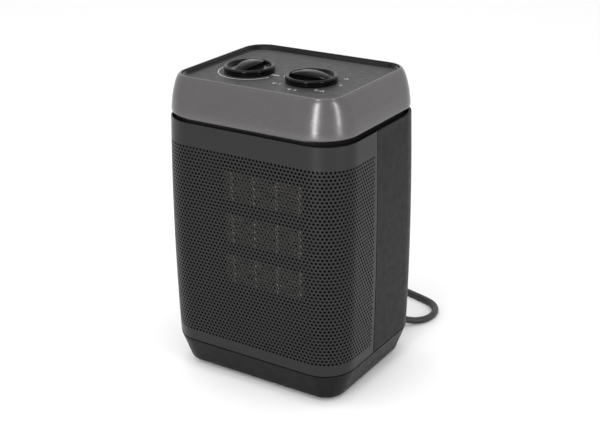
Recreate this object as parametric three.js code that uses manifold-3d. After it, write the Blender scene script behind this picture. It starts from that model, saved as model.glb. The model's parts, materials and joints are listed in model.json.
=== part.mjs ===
// Ceramic fan heater with a perforated steel front, two rotary controls and a turntable foot.
// Millimetres. +Z is up, the front looks along -Y, and the floor is z = 0.
import * as THREE from "three";
import { mergeVertices } from "three/addons/utils/BufferGeometryUtils.js";
import Module from "manifold-3d";

const wasm = await Module();
wasm.setup();

// ---- Driving dimensions ----
const bodyWidth = 173;
const bodyDepth = 142;
const bodyHeight = 255; // base cover underside to top rim
const footGap = 4; // floor to base cover underside
const fit = 0.3; // gap between pieces that touch
const cornerSteps = 6;

// Outer levels: how far the surface lies inside the widest outline, and its corner radius
const baseHeight = 24.1;
const bandHeight = 32;
const grooveHeight = 3.3;
const seam = 1;
const baseFoot = { x: 10.6, y: 10.9, r: 17 };
const baseRim = { x: 1.5, y: 1.6, r: 27.6 };
const bodyFoot = { x: 1.5, y: 1.6, r: 27.6 };
const bodyBelly = { x: 0, y: 0, r: 29 };
const bodyHead = { x: 0.8, y: 1.8, r: 29.5 };
const bandProfile = [
  { share: 0, x: 3.2, y: 2.2, r: 30 },
  { share: 0.06, x: 1.8, y: 1.3, r: 30 },
  { share: 0.35, x: 2.7, y: 2.2, r: 28.9 },
  { share: 0.7, x: 5.3, y: 4.9, r: 25.5 },
  { share: 0.88, x: 7.7, y: 6.9, r: 22.6 },
  { share: 1, x: 10.6, y: 9.3, r: 19 },
];

// Walls
const baseWall = 2.5;
const shellWall = 2.2;
const grilleSheet = 1;
const bandWall = 2;
const collarWall = 2.5;
const deckThickness = 2.2;
const deckLip = 3;
const sideSeamY = -9.5; // where the grille meets the rear shell on each side
const sideSeamWidth = 1;

// Control panel and knobs
const panelRecess = 3.7;
const panelThickness = 2.2;
const panelRimDrop = 0.6;
const panelSkirt = 4;
const thermostatAt = { x: -34, y: -10 };
const selectorAt = { x: 25.7, y: -10 };
const knobRadius = 21;
const knobHeight = 5.2;
const knobWell = { radius: 17.6, floor: 2.2 };
const gripWidth = 13;
const gripHeight = 8.4;
const gripEnd = 3.4;
const shaftRadius = 3;
const shaftDrop = 10;
const shaftInKnob = 4.4;
const thermostatSize = { radius: 15, height: 20 };
const selectorSize = { side: 34, height: 18 };

// Heating element
const heaterX = 1;
const heaterZ = 125; // above the base cover underside
const heaterFrontY = -45;
const elementWidth = 84;
const elementHeight = 100;
const elementDepth = 14;
const frameBorder = 3;
const frameLip = 2;
const ribHeight = 10;
const barCount = 4;
const barPitch = 22;
const barWidth = 2.3;
const ductWall = 1.6;

// Fan
const impellerRadius = 46;
const tipClearance = 2;
const impellerDepth = 15;
const hubRadius = 16;
const bladeCount = 7;
const bladeThickness = 1.8;
const bladePitch = 38; // degrees
const fanY = 5; // front of the fan plate
const fanPlate = 3;
const fanShaftRadius = 2.5;
const statorSize = { x: 54, z: 48, depth: 15 };
const rotorRadius = 12;
const armWidth = 8;
const coilOverhang = 4;
const spiderHub = 12;
const bearing = { half: 22, rise: 6, cup: 6, cupDepth: 4 };

// Small electrical parts
const terminalAt = { x: 34, y: 37 };
const terminalSize = { x: 32, y: 14, z: 13 };
const cutoutSize = { x: 18, y: 8, z: 6 };
const cutoutSetback = 3; // behind the front of the element frame
const tipSwitchSize = { x: 20, y: 10, z: 9 };
const tipSwitchGap = 5; // plunger axis to the switch

// Rear intake
const slotCount = 15;
const slotWidth = 96;
const slotHeight = 3.2;
const slotPitch = 6.8;

// Turntable foot and swing drive
const footRadius = 50;
const footPlate = 2.5;
const footLift = 1.5; // foot plate above the floor
const footWall = 2.5;
const recessClearance = 2;
const recessDepth = 14;
const pivotRadius = 8;
const pivotBore = 5;
const ringWidth = 5.5;
const ringHeight = 2.4;
const crankDistance = 26; // swing axis to crank axis
const crankRadius = 13; // half of crankDistance gives a swing of 30 degrees each way
const crankPin = 1.75;
const swingMotor = { radius: 24, height: 17 };
const padRadius = 6;
const padCircle = 40;
const plungerRadius = 2.4;
const plungerY = 32;

// Screws
const screwHead = { radius: 3.6, height: 2.2 };
const screwShank = { radius: 1.5, length: 11 };
const screwClearance = 0.4;
const screwInset = { x: 24, y: 24 };
const bossRadius = 6;
const bossHeight = 12;
const wellDepth = 9.5;

// Mains cord
const cordDiameter = 6.2;
const cordX = 57;
const cordZ = 9.4;
const reliefLength = 20;
const reliefRoot = 4.6;
const reliefTip = 3.8;
const reliefFlange = 2.5;
const cordSides = 8;
const coilAt = { x: -62, y: 126 };
const coilRadius = 32.5; // middle of its turns
const coilColumns = 3;
const coilLayers = 2;
const coilPitch = 6.25; // between turns side by side
const coilRise = 6.2; // between layers
const cordFloor = 0.1; // under a cord that lies on the floor
// From the strain relief to where the coil begins
const cordRoute = [
  [57, 85.2, 9.4], [57.6, 90.6, 8.8], [59.2, 95.8, 7], [62, 100.5, 5], [65.6, 104.5, 3.7],
  [71.2, 111.6, 3.2], [73.9, 120.2, 3.2], [73.6, 129.2, 3.2], [70.2, 137.6, 3.2],
  [64.2, 144.3, 3.2], [56.2, 148.5, 3.2], [38, 154, 3.2], [20, 158.8, 3.2],
  [2, 162.3, 3.2], [-18, 164.3, 3.2], [-38, 164.8, 3.2],
];
// From the coil's last turn to the back of the plug
const tailRoute = [
  [-106.6, 136.2, 10.4], [-111, 130.4, 11.9], [-114, 123.4, 14.4],
  [-115.2, 117.4, 17.2], [-115.2, 111.6, 18.1],
];
const plugAt = { x: -115.2, y: 110.6, z: 18.2 };
const plugHeading = -90; // degrees, the way its pins point
const plugProfile = [[0, 0], [4.6, 0], [5.4, 9], [13.5, 13], [18, 19], [18, 34], [16.6, 36], [0, 36]];
const plugPin = { radius: 2.4, length: 19, pitch: 19 };

// ---- Levels above the floor ----
const baseBottom = footGap;
const baseTop = baseBottom + baseHeight;
const shellBottom = baseTop + seam;
const topRim = baseBottom + bodyHeight;
const bandBottom = topRim - bandHeight;
const shellTop = bandBottom - grooveHeight;
const panelTop = topRim - panelRecess;
const panelUnder = panelTop - panelThickness;
const recessRoof = baseBottom + recessDepth;
const deckBottom = baseTop - deckThickness;
const fanZ = baseBottom + heaterZ;
const heaterBackY = heaterFrontY + frameLip + elementDepth + 2 * fit;
const recessRadius = footRadius + recessClearance;
const shroudRadius = impellerRadius + tipClearance;
const impellerY = fanY + fanPlate + 2;
const armY = impellerY + impellerDepth + 2;
const statorY = armY + deckThickness + coilOverhang + fit;
const elementLeft = heaterX - elementWidth / 2;
const elementBottom = fanZ - elementHeight / 2;

// ---- Shape helpers ----

/** A closed mesh with shared corners, no empty triangles and its faces pointing out. */
function closed(geometry) {
  const bare = geometry.clone();
  for (const name of Object.keys(bare.attributes)) {
    if (name !== "position") bare.deleteAttribute(name);
  }
  const merged = mergeVertices(bare, 1e-4);
  const p = merged.attributes.position;
  const faces = [];
  let volume = 0;
  const corner = [new THREE.Vector3(), new THREE.Vector3(), new THREE.Vector3()];
  for (let i = 0; i < merged.index.count; i += 3) {
    const face = [0, 1, 2].map((k) => merged.index.getX(i + k));
    if (new Set(face).size < 3) continue;
    face.forEach((v, k) => corner[k].fromBufferAttribute(p, v));
    volume += corner[0].dot(corner[1].clone().cross(corner[2]));
    faces.push(...face);
  }
  if (volume < 0) faces.reverse();
  const result = new THREE.BufferGeometry();
  result.setAttribute("position", new THREE.BufferAttribute(new Float32Array(p.array), 3));
  result.setIndex(faces);
  return result;
}

function solid(geometry) {
  const shape = closed(geometry);
  return new wasm.Manifold(new wasm.Mesh({
    numProp: 3,
    vertProperties: new Float32Array(shape.attributes.position.array),
    triVerts: new Uint32Array(shape.index.array),
  }));
}

function surface(manifold) {
  const mesh = manifold.getMesh();
  const geometry = new THREE.BufferGeometry();
  geometry.setAttribute("position", new THREE.BufferAttribute(mesh.vertProperties, 3));
  geometry.setIndex(new THREE.BufferAttribute(mesh.triVerts, 1));
  return geometry;
}

const joined = (first, ...others) => others.reduce((whole, piece) => whole.add(piece), first);
const cut = (first, ...others) => others.reduce((whole, piece) => whole.subtract(piece), first);

/** Points of a rounded rectangle, anticlockwise seen from above. */
function outline(halfX, halfY, radius) {
  const r = Math.min(radius, halfX - 1, halfY - 1);
  const points = [];
  for (let corner = 0; corner < 4; corner += 1) {
    const sx = corner === 0 || corner === 3 ? 1 : -1;
    const sy = corner < 2 ? 1 : -1;
    for (let i = 0; i <= cornerSteps; i += 1) {
      const a = (corner + i / cornerSteps) * (Math.PI / 2);
      points.push([sx * (halfX - r) + r * Math.cos(a), sy * (halfY - r) + r * Math.sin(a)]);
    }
  }
  return points;
}

/** A solid through rounded rectangles, each { z, x, y, r } with x and y as half sizes. */
function loft(levels) {
  const rings = levels.map((level) => outline(level.x, level.y, level.r));
  const count = rings[0].length;
  const points = [];
  const faces = [];
  rings.forEach((ring, i) => ring.forEach(([x, y]) => points.push(x, y, levels[i].z)));
  for (let i = 0; i + 1 < rings.length; i += 1) {
    for (let k = 0; k < count; k += 1) {
      const a = i * count + k;
      const b = i * count + ((k + 1) % count);
      faces.push(a, b, b + count, a, b + count, a + count);
    }
  }
  const bottom = points.length / 3;
  points.push(0, 0, levels[0].z, 0, 0, levels[levels.length - 1].z);
  const last = (rings.length - 1) * count;
  for (let k = 0; k < count; k += 1) {
    const next = (k + 1) % count;
    faces.push(bottom, next, k, bottom + 1, last + k, last + next);
  }
  const geometry = new THREE.BufferGeometry();
  geometry.setAttribute("position", new THREE.BufferAttribute(new Float32Array(points), 3));
  geometry.setIndex(faces);
  return geometry;
}

/** A level of the body: an inset from the widest outline, taken in by wall. */
function level(z, inset, wall = 0) {
  return {
    z,
    x: bodyWidth / 2 - inset.x - wall,
    y: bodyDepth / 2 - inset.y - wall,
    r: Math.max(inset.r - wall, 2),
  };
}

/** A block between two corners. */
function block(low, high) {
  const size = high.map((value, i) => value - low[i]);
  const geometry = new THREE.BoxGeometry(...size);
  return geometry.translate(...low.map((value, i) => value + size[i] / 2));
}

/** A turned piece about +Z from [radius, height] points. */
function turned(profile, segments = 32) {
  const points = profile.map(([r, h]) => new THREE.Vector2(r, h));
  return new THREE.LatheGeometry(points, segments).rotateX(Math.PI / 2);
}

function rod(radius, z0, z1, segments = 24) {
  return turned([[0, z0], [radius, z0], [radius, z1], [0, z1]], segments);
}

function ring(inner, outer, z0, z1, segments = 40) {
  return turned([[inner, z0], [outer, z0], [outer, z1], [inner, z1], [inner, z0]], segments);
}

/** Turns a piece made about +Z to lie along +Y. */
const alongY = (geometry) => geometry.rotateX(-Math.PI / 2);

/** A round tube along a list of points. */
function tube(points, diameter, steps) {
  const route = new THREE.CatmullRomCurve3(points.map((p) => new THREE.Vector3(...p)), false, "centripetal");
  const section = new THREE.Shape();
  for (let i = 0; i < cordSides; i += 1) {
    const a = (i / cordSides) * 2 * Math.PI;
    section[i === 0 ? "moveTo" : "lineTo"](Math.cos(a) * diameter / 2, Math.sin(a) * diameter / 2);
  }
  return new THREE.ExtrudeGeometry(section, { steps, extrudePath: route, bevelEnabled: false });
}

// ---- Housing shells ----

function baseCover() {
  const shell = cut(
    solid(loft([level(baseBottom, baseFoot), level(baseTop, baseRim)])),
    solid(loft([
      level(baseBottom + baseWall, baseFoot, baseWall),
      level(baseTop + 0.5, baseRim, baseWall),
    ])),
  );
  const drum = solid(rod(recessRadius + baseWall, baseBottom, recessRoof + deckThickness, 48));
  const bosses = screwPlaces().map(([x, y]) => (
    solid(rod(bossRadius, baseBottom, baseBottom + bossHeight).translate(x, y, 0))));
  const wells = screwPlaces().flatMap(([x, y]) => [
    solid(rod(screwHead.radius + 0.6, baseBottom - 1, baseBottom + wellDepth).translate(x, y, 0)),
    solid(rod(screwShank.radius + screwClearance, baseBottom, baseBottom + bossHeight + 1, 12)
      .translate(x, y, 0)),
  ]);
  const outletBoss = solid(alongY(rod(reliefRoot + 1.6, reliefInnerY(), reliefOuterY()))
    .translate(cordX, 0, cordZ));
  const outletHole = solid(alongY(turned([
    [0, reliefInnerY() - reliefFlange - 2 * fit],
    [reliefRoot + fit, reliefInnerY() - reliefFlange - 2 * fit],
    [reliefRoot + fit, reliefInnerY()], [reliefTip + fit, reliefInnerY()],
    [reliefTip + fit, reliefOuterY() + 1], [0, reliefOuterY() + 1],
  ])).translate(cordX, 0, cordZ));
  const below = solid(block([-bodyWidth, -bodyDepth, -50], [bodyWidth, bodyDepth, baseBottom]));
  const crankHole = solid(rod(crankRadius + crankPin + 0.5, recessRoof - 1, recessRoof + 9)
    .translate(0, -crankDistance, 0));
  return surface(cut(
    joined(shell, drum, outletBoss, ...bosses),
    solid(rod(recessRadius, baseBottom - 1, recessRoof, 48)),
    solid(rod(pivotRadius + fit, recessRoof - 1, recessRoof + 9)),
    crankHole,
    outletHole,
    below,
    ...wells,
  ));
}

function screwPlaces() {
  const x = bodyWidth / 2 - screwInset.x;
  const y = bodyDepth / 2 - screwInset.y;
  return [[-x, -y], [x, -y], [-x, y], [x, y]];
}

/** How far the base cover's sloping side lies inside the widest outline at a height. */
function baseInset(z) {
  const share = (z - baseBottom) / baseHeight;
  const between = (a, b) => a + (b - a) * share;
  return {
    x: between(baseFoot.x, baseRim.x),
    y: between(baseFoot.y, baseRim.y),
    r: between(baseFoot.r, baseRim.r),
  };
}

const rearWallY = () => bodyDepth / 2 - baseInset(cordZ).y;
const reliefInnerY = () => rearWallY() - baseWall - 2;
const reliefOuterY = () => rearWallY() + 2;

/** The shells' outer shape between base and band, taken in by wall. */
function barrel(wall, overrun = 0) {
  const middle = (shellBottom + shellTop) / 2;
  return solid(loft([
    level(shellBottom - overrun, bodyFoot, wall),
    level(middle, bodyBelly, wall),
    level(shellTop + overrun, bodyHead, wall),
  ]));
}

function frontGrille() {
  const behind = solid(block(
    [-bodyWidth, sideSeamY - sideSeamWidth / 2, 0], [bodyWidth, bodyDepth, topRim]));
  return surface(cut(barrel(0), barrel(grilleSheet, 1), behind));
}

function rearShell() {
  const front = solid(block(
    [-bodyWidth, -bodyDepth, 0], [bodyWidth, sideSeamY + sideSeamWidth / 2, topRim]));
  const first = fanZ - ((slotCount - 1) / 2) * slotPitch;
  const slots = Array.from({ length: slotCount }, (_, i) => {
    const z = first + i * slotPitch;
    return solid(block(
      [-slotWidth / 2, bodyDepth / 4, z - slotHeight / 2],
      [slotWidth / 2, bodyDepth, z + slotHeight / 2],
    ));
  });
  return surface(cut(barrel(0), barrel(shellWall, 1), front, ...slots));
}

function lowerDeck() {
  const gap = baseWall + fit;
  const edge = { x: baseRim.x, y: baseRim.y, r: baseRim.r };
  const lipTop = baseTop + deckLip;
  const plate = solid(loft([
    level(deckBottom, baseInset(deckBottom), gap), level(baseTop, edge, gap), level(lipTop, edge, gap)]));
  const hollow = solid(loft([
    level(baseTop, edge, gap + deckThickness), level(lipTop + 1, edge, gap + deckThickness)]));
  const posts = screwPlaces().map(([x, y]) => (
    solid(rod(bossRadius - 1.5, baseBottom + bossHeight + fit, deckBottom + 1).translate(x, y, 0))));
  const bores = screwPlaces().map(([x, y]) => (
    solid(rod(screwShank.radius + screwClearance, baseBottom + bossHeight, deckBottom + 1, 12)
      .translate(x, y, 0))));
  return surface(cut(
    joined(cut(plate, hollow), ...posts),
    ...bores,
    solid(rod(pivotBore + 2, deckBottom - 1, baseTop + 1)),
    solid(rod(shaftRadius + 2, deckBottom - 1, baseTop + 1).translate(0, -crankDistance, 0)),
  ));
}

function upperCollar() {
  const inside = (side) => Math.max(bodyHead[side] + shellWall, bandProfile[0][side] + bandWall) + fit;
  const edge = { x: inside("x"), y: inside("y"), r: bandProfile[0].r };
  return surface(cut(
    solid(loft([level(shellTop - 6, edge), level(bandBottom + 4, edge)])),
    solid(loft([level(shellTop - 7, edge, collarWall), level(bandBottom + 5, edge, collarWall)])),
  ));
}

function topBand() {
  const at = (wall) => bandProfile.map((p) => level(bandBottom + p.share * bandHeight, p, wall));
  const inner = at(bandWall);
  inner[0].z -= 1;
  inner[inner.length - 1].z += 0.01;
  return surface(cut(solid(loft(at(0))), solid(loft(inner))));
}

function controlPanel() {
  const rim = bandProfile[bandProfile.length - 1];
  const edge = { x: rim.x + bandWall + fit, y: rim.y + bandWall + fit, r: rim.r - bandWall };
  const top = topRim - panelRimDrop;
  const tray = cut(
    solid(loft([level(panelUnder - panelSkirt, edge), level(top, edge)])),
    solid(loft([level(panelTop, edge, 5), level(panelTop + 1, edge, 3.4), level(top + 1, edge, 1.6)])),
    solid(loft([level(panelUnder - panelSkirt - 1, edge, 2), level(panelUnder, edge, 2)])),
  );
  const holes = [thermostatAt, selectorAt].map(({ x, y }) => (
    solid(rod(shaftRadius + 1, panelUnder - 1, panelTop + 1).translate(x, y, 0))));
  return surface(cut(tray, ...holes));
}

// ---- Controls ----

/** A round knob with a sunk face and a raised grip that points along +X. */
function knob() {
  const base = panelTop + fit;
  const edge = 0.8;
  const dish = solid(turned([
    [0, base], [knobRadius, base], [knobRadius, base + knobHeight - edge],
    [knobRadius - edge, base + knobHeight], [knobWell.radius + edge, base + knobHeight],
    [knobWell.radius, base + knobHeight - edge], [knobWell.radius - 0.6, base + knobWell.floor],
    [0, base + knobWell.floor],
  ], 48));
  const side = new THREE.Shape();
  side.moveTo(-knobRadius, 1);
  side.lineTo(knobRadius, 1);
  side.lineTo(knobRadius, gripEnd);
  for (let i = 1; i < 12; i += 1) {
    const share = 1 - i / 6;
    side.lineTo(knobRadius * share, gripEnd + (gripHeight - gripEnd) * (1 - share * share));
  }
  side.lineTo(-knobRadius, gripEnd);
  const grip = solid(new THREE.ExtrudeGeometry(side, { depth: gripWidth, bevelEnabled: false })
    .rotateX(Math.PI / 2)
    .translate(0, gripWidth / 2, base));
  const round = solid(rod(knobRadius - 1, base, base + 2 * gripHeight, 48));
  const bore = solid(rod(shaftRadius + fit, base - 1, base + shaftInKnob + fit, 20));
  return surface(joined(dish, grip.intersect(round)).subtract(bore));
}

function controlShaft() {
  return rod(shaftRadius, panelUnder - shaftDrop, panelTop + fit + shaftInKnob, 20);
}

function shaftBore() {
  return solid(rod(shaftRadius + fit, panelUnder - shaftDrop - fit, panelTop, 20));
}

function thermostatBody() {
  const top = panelUnder - fit;
  return surface(cut(solid(rod(thermostatSize.radius, top - thermostatSize.height, top)), shaftBore()));
}

function selectorSwitch() {
  const top = panelUnder - fit;
  const half = selectorSize.side / 2;
  const box = block([-half, -half, top - selectorSize.height], [half, half, top]);
  return surface(cut(solid(box), shaftBore()));
}

// ---- Heating element and air path ----

function elementFrame() {
  const left = elementLeft - fit;
  const right = elementLeft + elementWidth + fit;
  const low = elementBottom - fit;
  const high = elementBottom + elementHeight + fit;
  const outer = solid(block(
    [left - frameBorder, heaterFrontY, low - frameBorder],
    [right + frameBorder, heaterBackY, high + frameBorder],
  ));
  const pocket = solid(block([left, heaterFrontY + frameLip, low], [right, heaterBackY + 1, high]));
  const rows = 3;
  const rowHeight = (elementHeight - (rows - 1) * ribHeight) / rows;
  const windows = Array.from({ length: rows }, (_, i) => {
    const z = elementBottom + i * (rowHeight + ribHeight);
    return solid(block([left + 1, heaterFrontY - 1, z], [right - 1, heaterBackY, z + rowHeight]));
  });
  return surface(cut(outer, pocket, ...windows));
}

const barX = (i) => heaterX + (i - (barCount - 1) / 2) * barPitch;
const elementY = () => [heaterFrontY + frameLip + fit, heaterFrontY + frameLip + fit + elementDepth];

function ceramicBar(i) {
  const [front, back] = elementY();
  return block(
    [barX(i) - barWidth / 2, front, elementBottom],
    [barX(i) + barWidth / 2, back, elementBottom + elementHeight],
  );
}

/** The corrugated aluminium between two bars, as the block that it fills. */
function finBlock(i) {
  const [front, back] = elementY();
  const left = i === 0 ? elementLeft : barX(i - 1) + barWidth / 2 + fit;
  const right = i === barCount ? elementLeft + elementWidth : barX(i) - barWidth / 2 - fit;
  return block([left, front, elementBottom], [right, back, elementBottom + elementHeight]);
}

function airDuct() {
  const half = elementWidth / 2 + frameBorder + fit;
  const halfZ = elementHeight / 2 + frameBorder + fit;
  const at = (grow, y0, y1) => solid(block(
    [heaterX - half - grow, y0, fanZ - halfZ - grow], [heaterX + half + grow, y1, fanZ + halfZ + grow]));
  return surface(cut(at(0, heaterBackY + fit, fanY - fit), at(-ductWall, heaterBackY, fanY)));
}

function fanShroud() {
  const half = Math.max(elementWidth / 2 + frameBorder + 1, shroudRadius + ductWall);
  const halfZ = elementHeight / 2 + frameBorder + 1;
  const plate = solid(block([-half, fanY, fanZ - halfZ], [half, fanY + fanPlate, fanZ + halfZ]));
  const collar = solid(alongY(rod(shroudRadius + ductWall, fanY, armY - fit, 48)).translate(0, 0, fanZ));
  const mouth = solid(alongY(rod(shroudRadius, fanY - 1, armY + 1, 48)).translate(0, 0, fanZ));
  return surface(joined(plate, collar).subtract(mouth));
}

function impeller() {
  const hub = solid(rod(hubRadius, 0, impellerDepth));
  const reach = impellerRadius;
  const blades = Array.from({ length: bladeCount }, (_, i) => solid(
    new THREE.BoxGeometry(reach, bladeThickness, 2 * impellerDepth)
      .translate(reach / 2 + hubRadius / 2, 0, 0)
      .rotateX(THREE.MathUtils.degToRad(bladePitch))
      .translate(0, 0, impellerDepth / 2)
      .rotateZ((i / bladeCount) * 2 * Math.PI)));
  const envelope = solid(rod(impellerRadius, 0.5, impellerDepth - 0.5, 48));
  const wheel = joined(...blades).intersect(envelope).add(hub);
  const bore = solid(rod(fanShaftRadius + fit, 2, impellerDepth + 1, 16));
  return alongY(surface(wheel.subtract(bore))).translate(0, impellerY, fanZ);
}

function fanShaft() {
  return alongY(rod(fanShaftRadius, impellerY + 2 + fit, statorY + statorSize.depth + 6, 16))
    .translate(0, 0, fanZ);
}

function motorRotor() {
  return alongY(ring(fanShaftRadius + fit, rotorRadius, statorY + 0.5, statorY + statorSize.depth - 0.5, 24))
    .translate(0, 0, fanZ);
}

function motorStator() {
  const { x, z, depth } = statorSize;
  const core = solid(block([-x / 2, statorY, fanZ - z * 0.6], [x / 2, statorY + depth, fanZ + z * 0.4]));
  const bore = solid(alongY(rod(rotorRadius + 0.6, statorY - 1, statorY + depth + 1)).translate(0, 0, fanZ));
  const window = solid(block(
    [-x / 2 + 9, statorY - 1, fanZ - z * 0.6 + 8], [x / 2 - 9, statorY + depth + 1, fanZ - rotorRadius - 4]));
  return surface(cut(core, bore, window));
}

function motorCoil() {
  const { x, z, depth } = statorSize;
  const low = fanZ - z * 0.6;
  const outer = solid(block(
    [-x / 2 + 11, statorY - coilOverhang, low - coilOverhang],
    [x / 2 - 11, statorY + depth + coilOverhang, fanZ - rotorRadius - 4 - fit]));
  const leg = solid(block([-x / 2, statorY - fit, low - fit], [x / 2, statorY + depth + fit, low + 8 + fit]));
  return surface(cut(outer, leg));
}

/** Arms that carry the motor behind the fan. */
function motorSpider() {
  const reach = shroudRadius + ductWall;
  const rim = solid(ring(shroudRadius - 3, reach, 0, deckThickness, 48));
  const centre = solid(rod(spiderHub, 0, deckThickness));
  const arms = [0, 120, 240].map((angle) => solid(
    block([0, -armWidth / 2, 0], [shroudRadius - 1, armWidth / 2, deckThickness])
      .rotateZ(THREE.MathUtils.degToRad(angle - 30))));
  const bore = solid(rod(fanShaftRadius + fit, -1, deckThickness + 1, 16));
  return alongY(surface(joined(rim, centre, ...arms).subtract(bore))).translate(0, armY, fanZ);
}

function rearBearing() {
  const y = statorY + statorSize.depth + fit;
  const { half, rise, cup: cupRadius, cupDepth } = bearing;
  const bar = solid(block([-half, y, fanZ - rise], [half, y + deckThickness, fanZ + rise]));
  const cup = solid(alongY(rod(cupRadius, y, y + cupDepth)).translate(0, 0, fanZ));
  const bore = solid(alongY(rod(fanShaftRadius + fit, y - 1, y + 6, 16)).translate(0, 0, fanZ));
  return surface(joined(bar, cup).subtract(bore));
}

function thermalCutout() {
  const low = elementBottom + elementHeight + 2 * fit + frameBorder;
  const front = heaterFrontY + cutoutSetback;
  const { x, y, z } = cutoutSize;
  return block([heaterX - x / 2, front, low], [heaterX + x / 2, front + y, low + z]);
}

function terminalBlock() {
  const low = baseTop + fit;
  const { x, y, z } = terminalSize;
  return block(
    [terminalAt.x - x / 2, terminalAt.y - y / 2, low], [terminalAt.x + x / 2, terminalAt.y + y / 2, low + z]);
}

// ---- Turntable foot and swing drive ----

function turntableFoot() {
  const plateTop = footLift + footPlate;
  const rimTop = recessRoof - ringHeight - 2 * fit;
  const dish = joined(
    solid(rod(footRadius, footLift, plateTop, 48)),
    solid(ring(footRadius - footWall, footRadius, footLift, rimTop, 48)),
    solid(rod(pivotRadius, footLift, recessRoof + deckThickness)),
  );
  return surface(cut(
    dish,
    solid(rod(pivotBore, 0, recessRoof + 20)),
    solid(rod(plungerRadius + 0.5, 0, plateTop + 1, 16).translate(0, plungerY, 0)),
  ));
}

function slideRing() {
  const low = recessRoof - ringHeight - fit;
  return ring(footRadius - ringWidth, footRadius, low, low + ringHeight, 48);
}

function pivotRetainer() {
  const low = recessRoof + deckThickness + fit;
  return ring(pivotBore, pivotRadius + 2.5, low, low + 2, 32);
}

/** A radial channel in the foot that the crank pin drives against. */
function swingTrack() {
  const low = footLift + footPlate + fit;
  const near = crankDistance - crankRadius - 3;
  const far = crankDistance + crankRadius + 3.5;
  return surface(cut(
    solid(block([-6, -far, low], [6, -near, low + 7])),
    solid(block([-crankPin - 0.3, -far + 1, low + 2], [crankPin + 0.3, -near - 0.5, low + 8])),
  ));
}

const crankPlateBottom = recessRoof + deckThickness + fit + 2 + 0.4;

function swingCrank() {
  const pinBottom = footLift + footPlate + fit + 7 + 0.4;
  return surface(joined(
    solid(rod(crankRadius + crankPin + 0.5, crankPlateBottom, crankPlateBottom + 2, 32)),
    solid(rod(shaftRadius, crankPlateBottom, baseTop + 6, 20)),
    solid(rod(crankPin, pinBottom, crankPlateBottom + 1, 16).translate(crankRadius, 0, 0)),
  )).translate(0, -crankDistance, 0);
}

function swingMotorCan() {
  const low = baseTop + fit;
  return surface(cut(
    solid(rod(swingMotor.radius, low, low + swingMotor.height)),
    solid(rod(shaftRadius + fit, low - 1, baseTop + 6 + fit, 20)),
  )).translate(0, -crankDistance, 0);
}

function tipSwitch() {
  const low = footLift + footPlate + fit;
  const { x, y, z } = tipSwitchSize;
  const back = plungerY - tipSwitchGap;
  return block([-x / 2, back - y, low], [x / 2, back, low + z]);
}

function tipPlunger() {
  const collar = footLift + footPlate + 3.3;
  return turned([
    [0, 0], [plungerRadius - 0.6, 0], [plungerRadius, 0.6], [plungerRadius, collar],
    [plungerRadius + 1.6, collar], [plungerRadius + 1.6, collar + 1.5], [0, collar + 1.5],
  ], 20);
}

function footPad(x, y) {
  return rod(padRadius, 0, footLift - fit, 24).translate(x, y, 0);
}

// ---- Fasteners ----

function baseScrew([x, y]) {
  const headTop = baseBottom + wellDepth - fit;
  const tip = headTop + screwShank.length;
  return turned([
    [0, headTop - screwHead.height], [screwHead.radius, headTop - screwHead.height + 0.6],
    [screwHead.radius, headTop], [screwShank.radius, headTop], [screwShank.radius, tip - 2], [0, tip],
  ], 16).translate(x, y, 0);
}

// ---- Mains cord ----

function strainRelief() {
  const innerFace = reliefInnerY();
  const outerFace = reliefOuterY();
  return alongY(turned([
    [0, innerFace - fit - reliefFlange],
    [reliefRoot, innerFace - fit - reliefFlange],
    [reliefRoot, innerFace - fit],
    [reliefTip, innerFace - fit], [reliefTip, outerFace + fit], [reliefRoot, outerFace + fit],
    [reliefTip, outerFace + fit + reliefLength], [0, outerFace + fit + reliefLength],
  ], 24)).translate(cordX, 0, cordZ);
}

const coilHalfWidth = ((coilColumns - 1) * coilPitch + cordDiameter) / 2;
const coilTop = cordFloor + (coilLayers - 1) * coilRise + cordDiameter + fit;

function coilRing() {
  return ring(coilRadius - coilHalfWidth, coilRadius + coilHalfWidth, cordFloor, coilTop)
    .translate(coilAt.x, coilAt.y, 0);
}

/** A strap over the coil, on the side that faces the housing. */
function cordTie() {
  const inner = [coilHalfWidth + 0.8, coilTop + fit];
  const outer = [coilHalfWidth + 1.8, coilTop + fit + 1];
  return surface(cut(
    solid(block([coilRadius - outer[0], -4, cordFloor], [coilRadius + outer[0], 4, outer[1]])),
    solid(block([coilRadius - inner[0], -5, -1], [coilRadius + inner[0], 5, inner[1]])),
  )).rotateZ(-Math.PI / 2).translate(coilAt.x, coilAt.y, 0);
}

/** Places what is made along +Z at the plug, pointing the way its pins point. */
function atPlug(geometry) {
  return geometry.rotateY(Math.PI / 2)
    .rotateZ(THREE.MathUtils.degToRad(plugHeading))
    .translate(plugAt.x, plugAt.y, plugAt.z);
}

function plugPinAt(side) {
  const start = plugProfile[plugProfile.length - 1][1] + fit;
  const { radius, length, pitch } = plugPin;
  return atPlug(turned([
    [0, start], [radius, start], [radius, start + length - 1.5], [0, start + length],
  ], 16).translate(0, (side * pitch) / 2, 0));
}

// ---- Assembly ----

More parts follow.
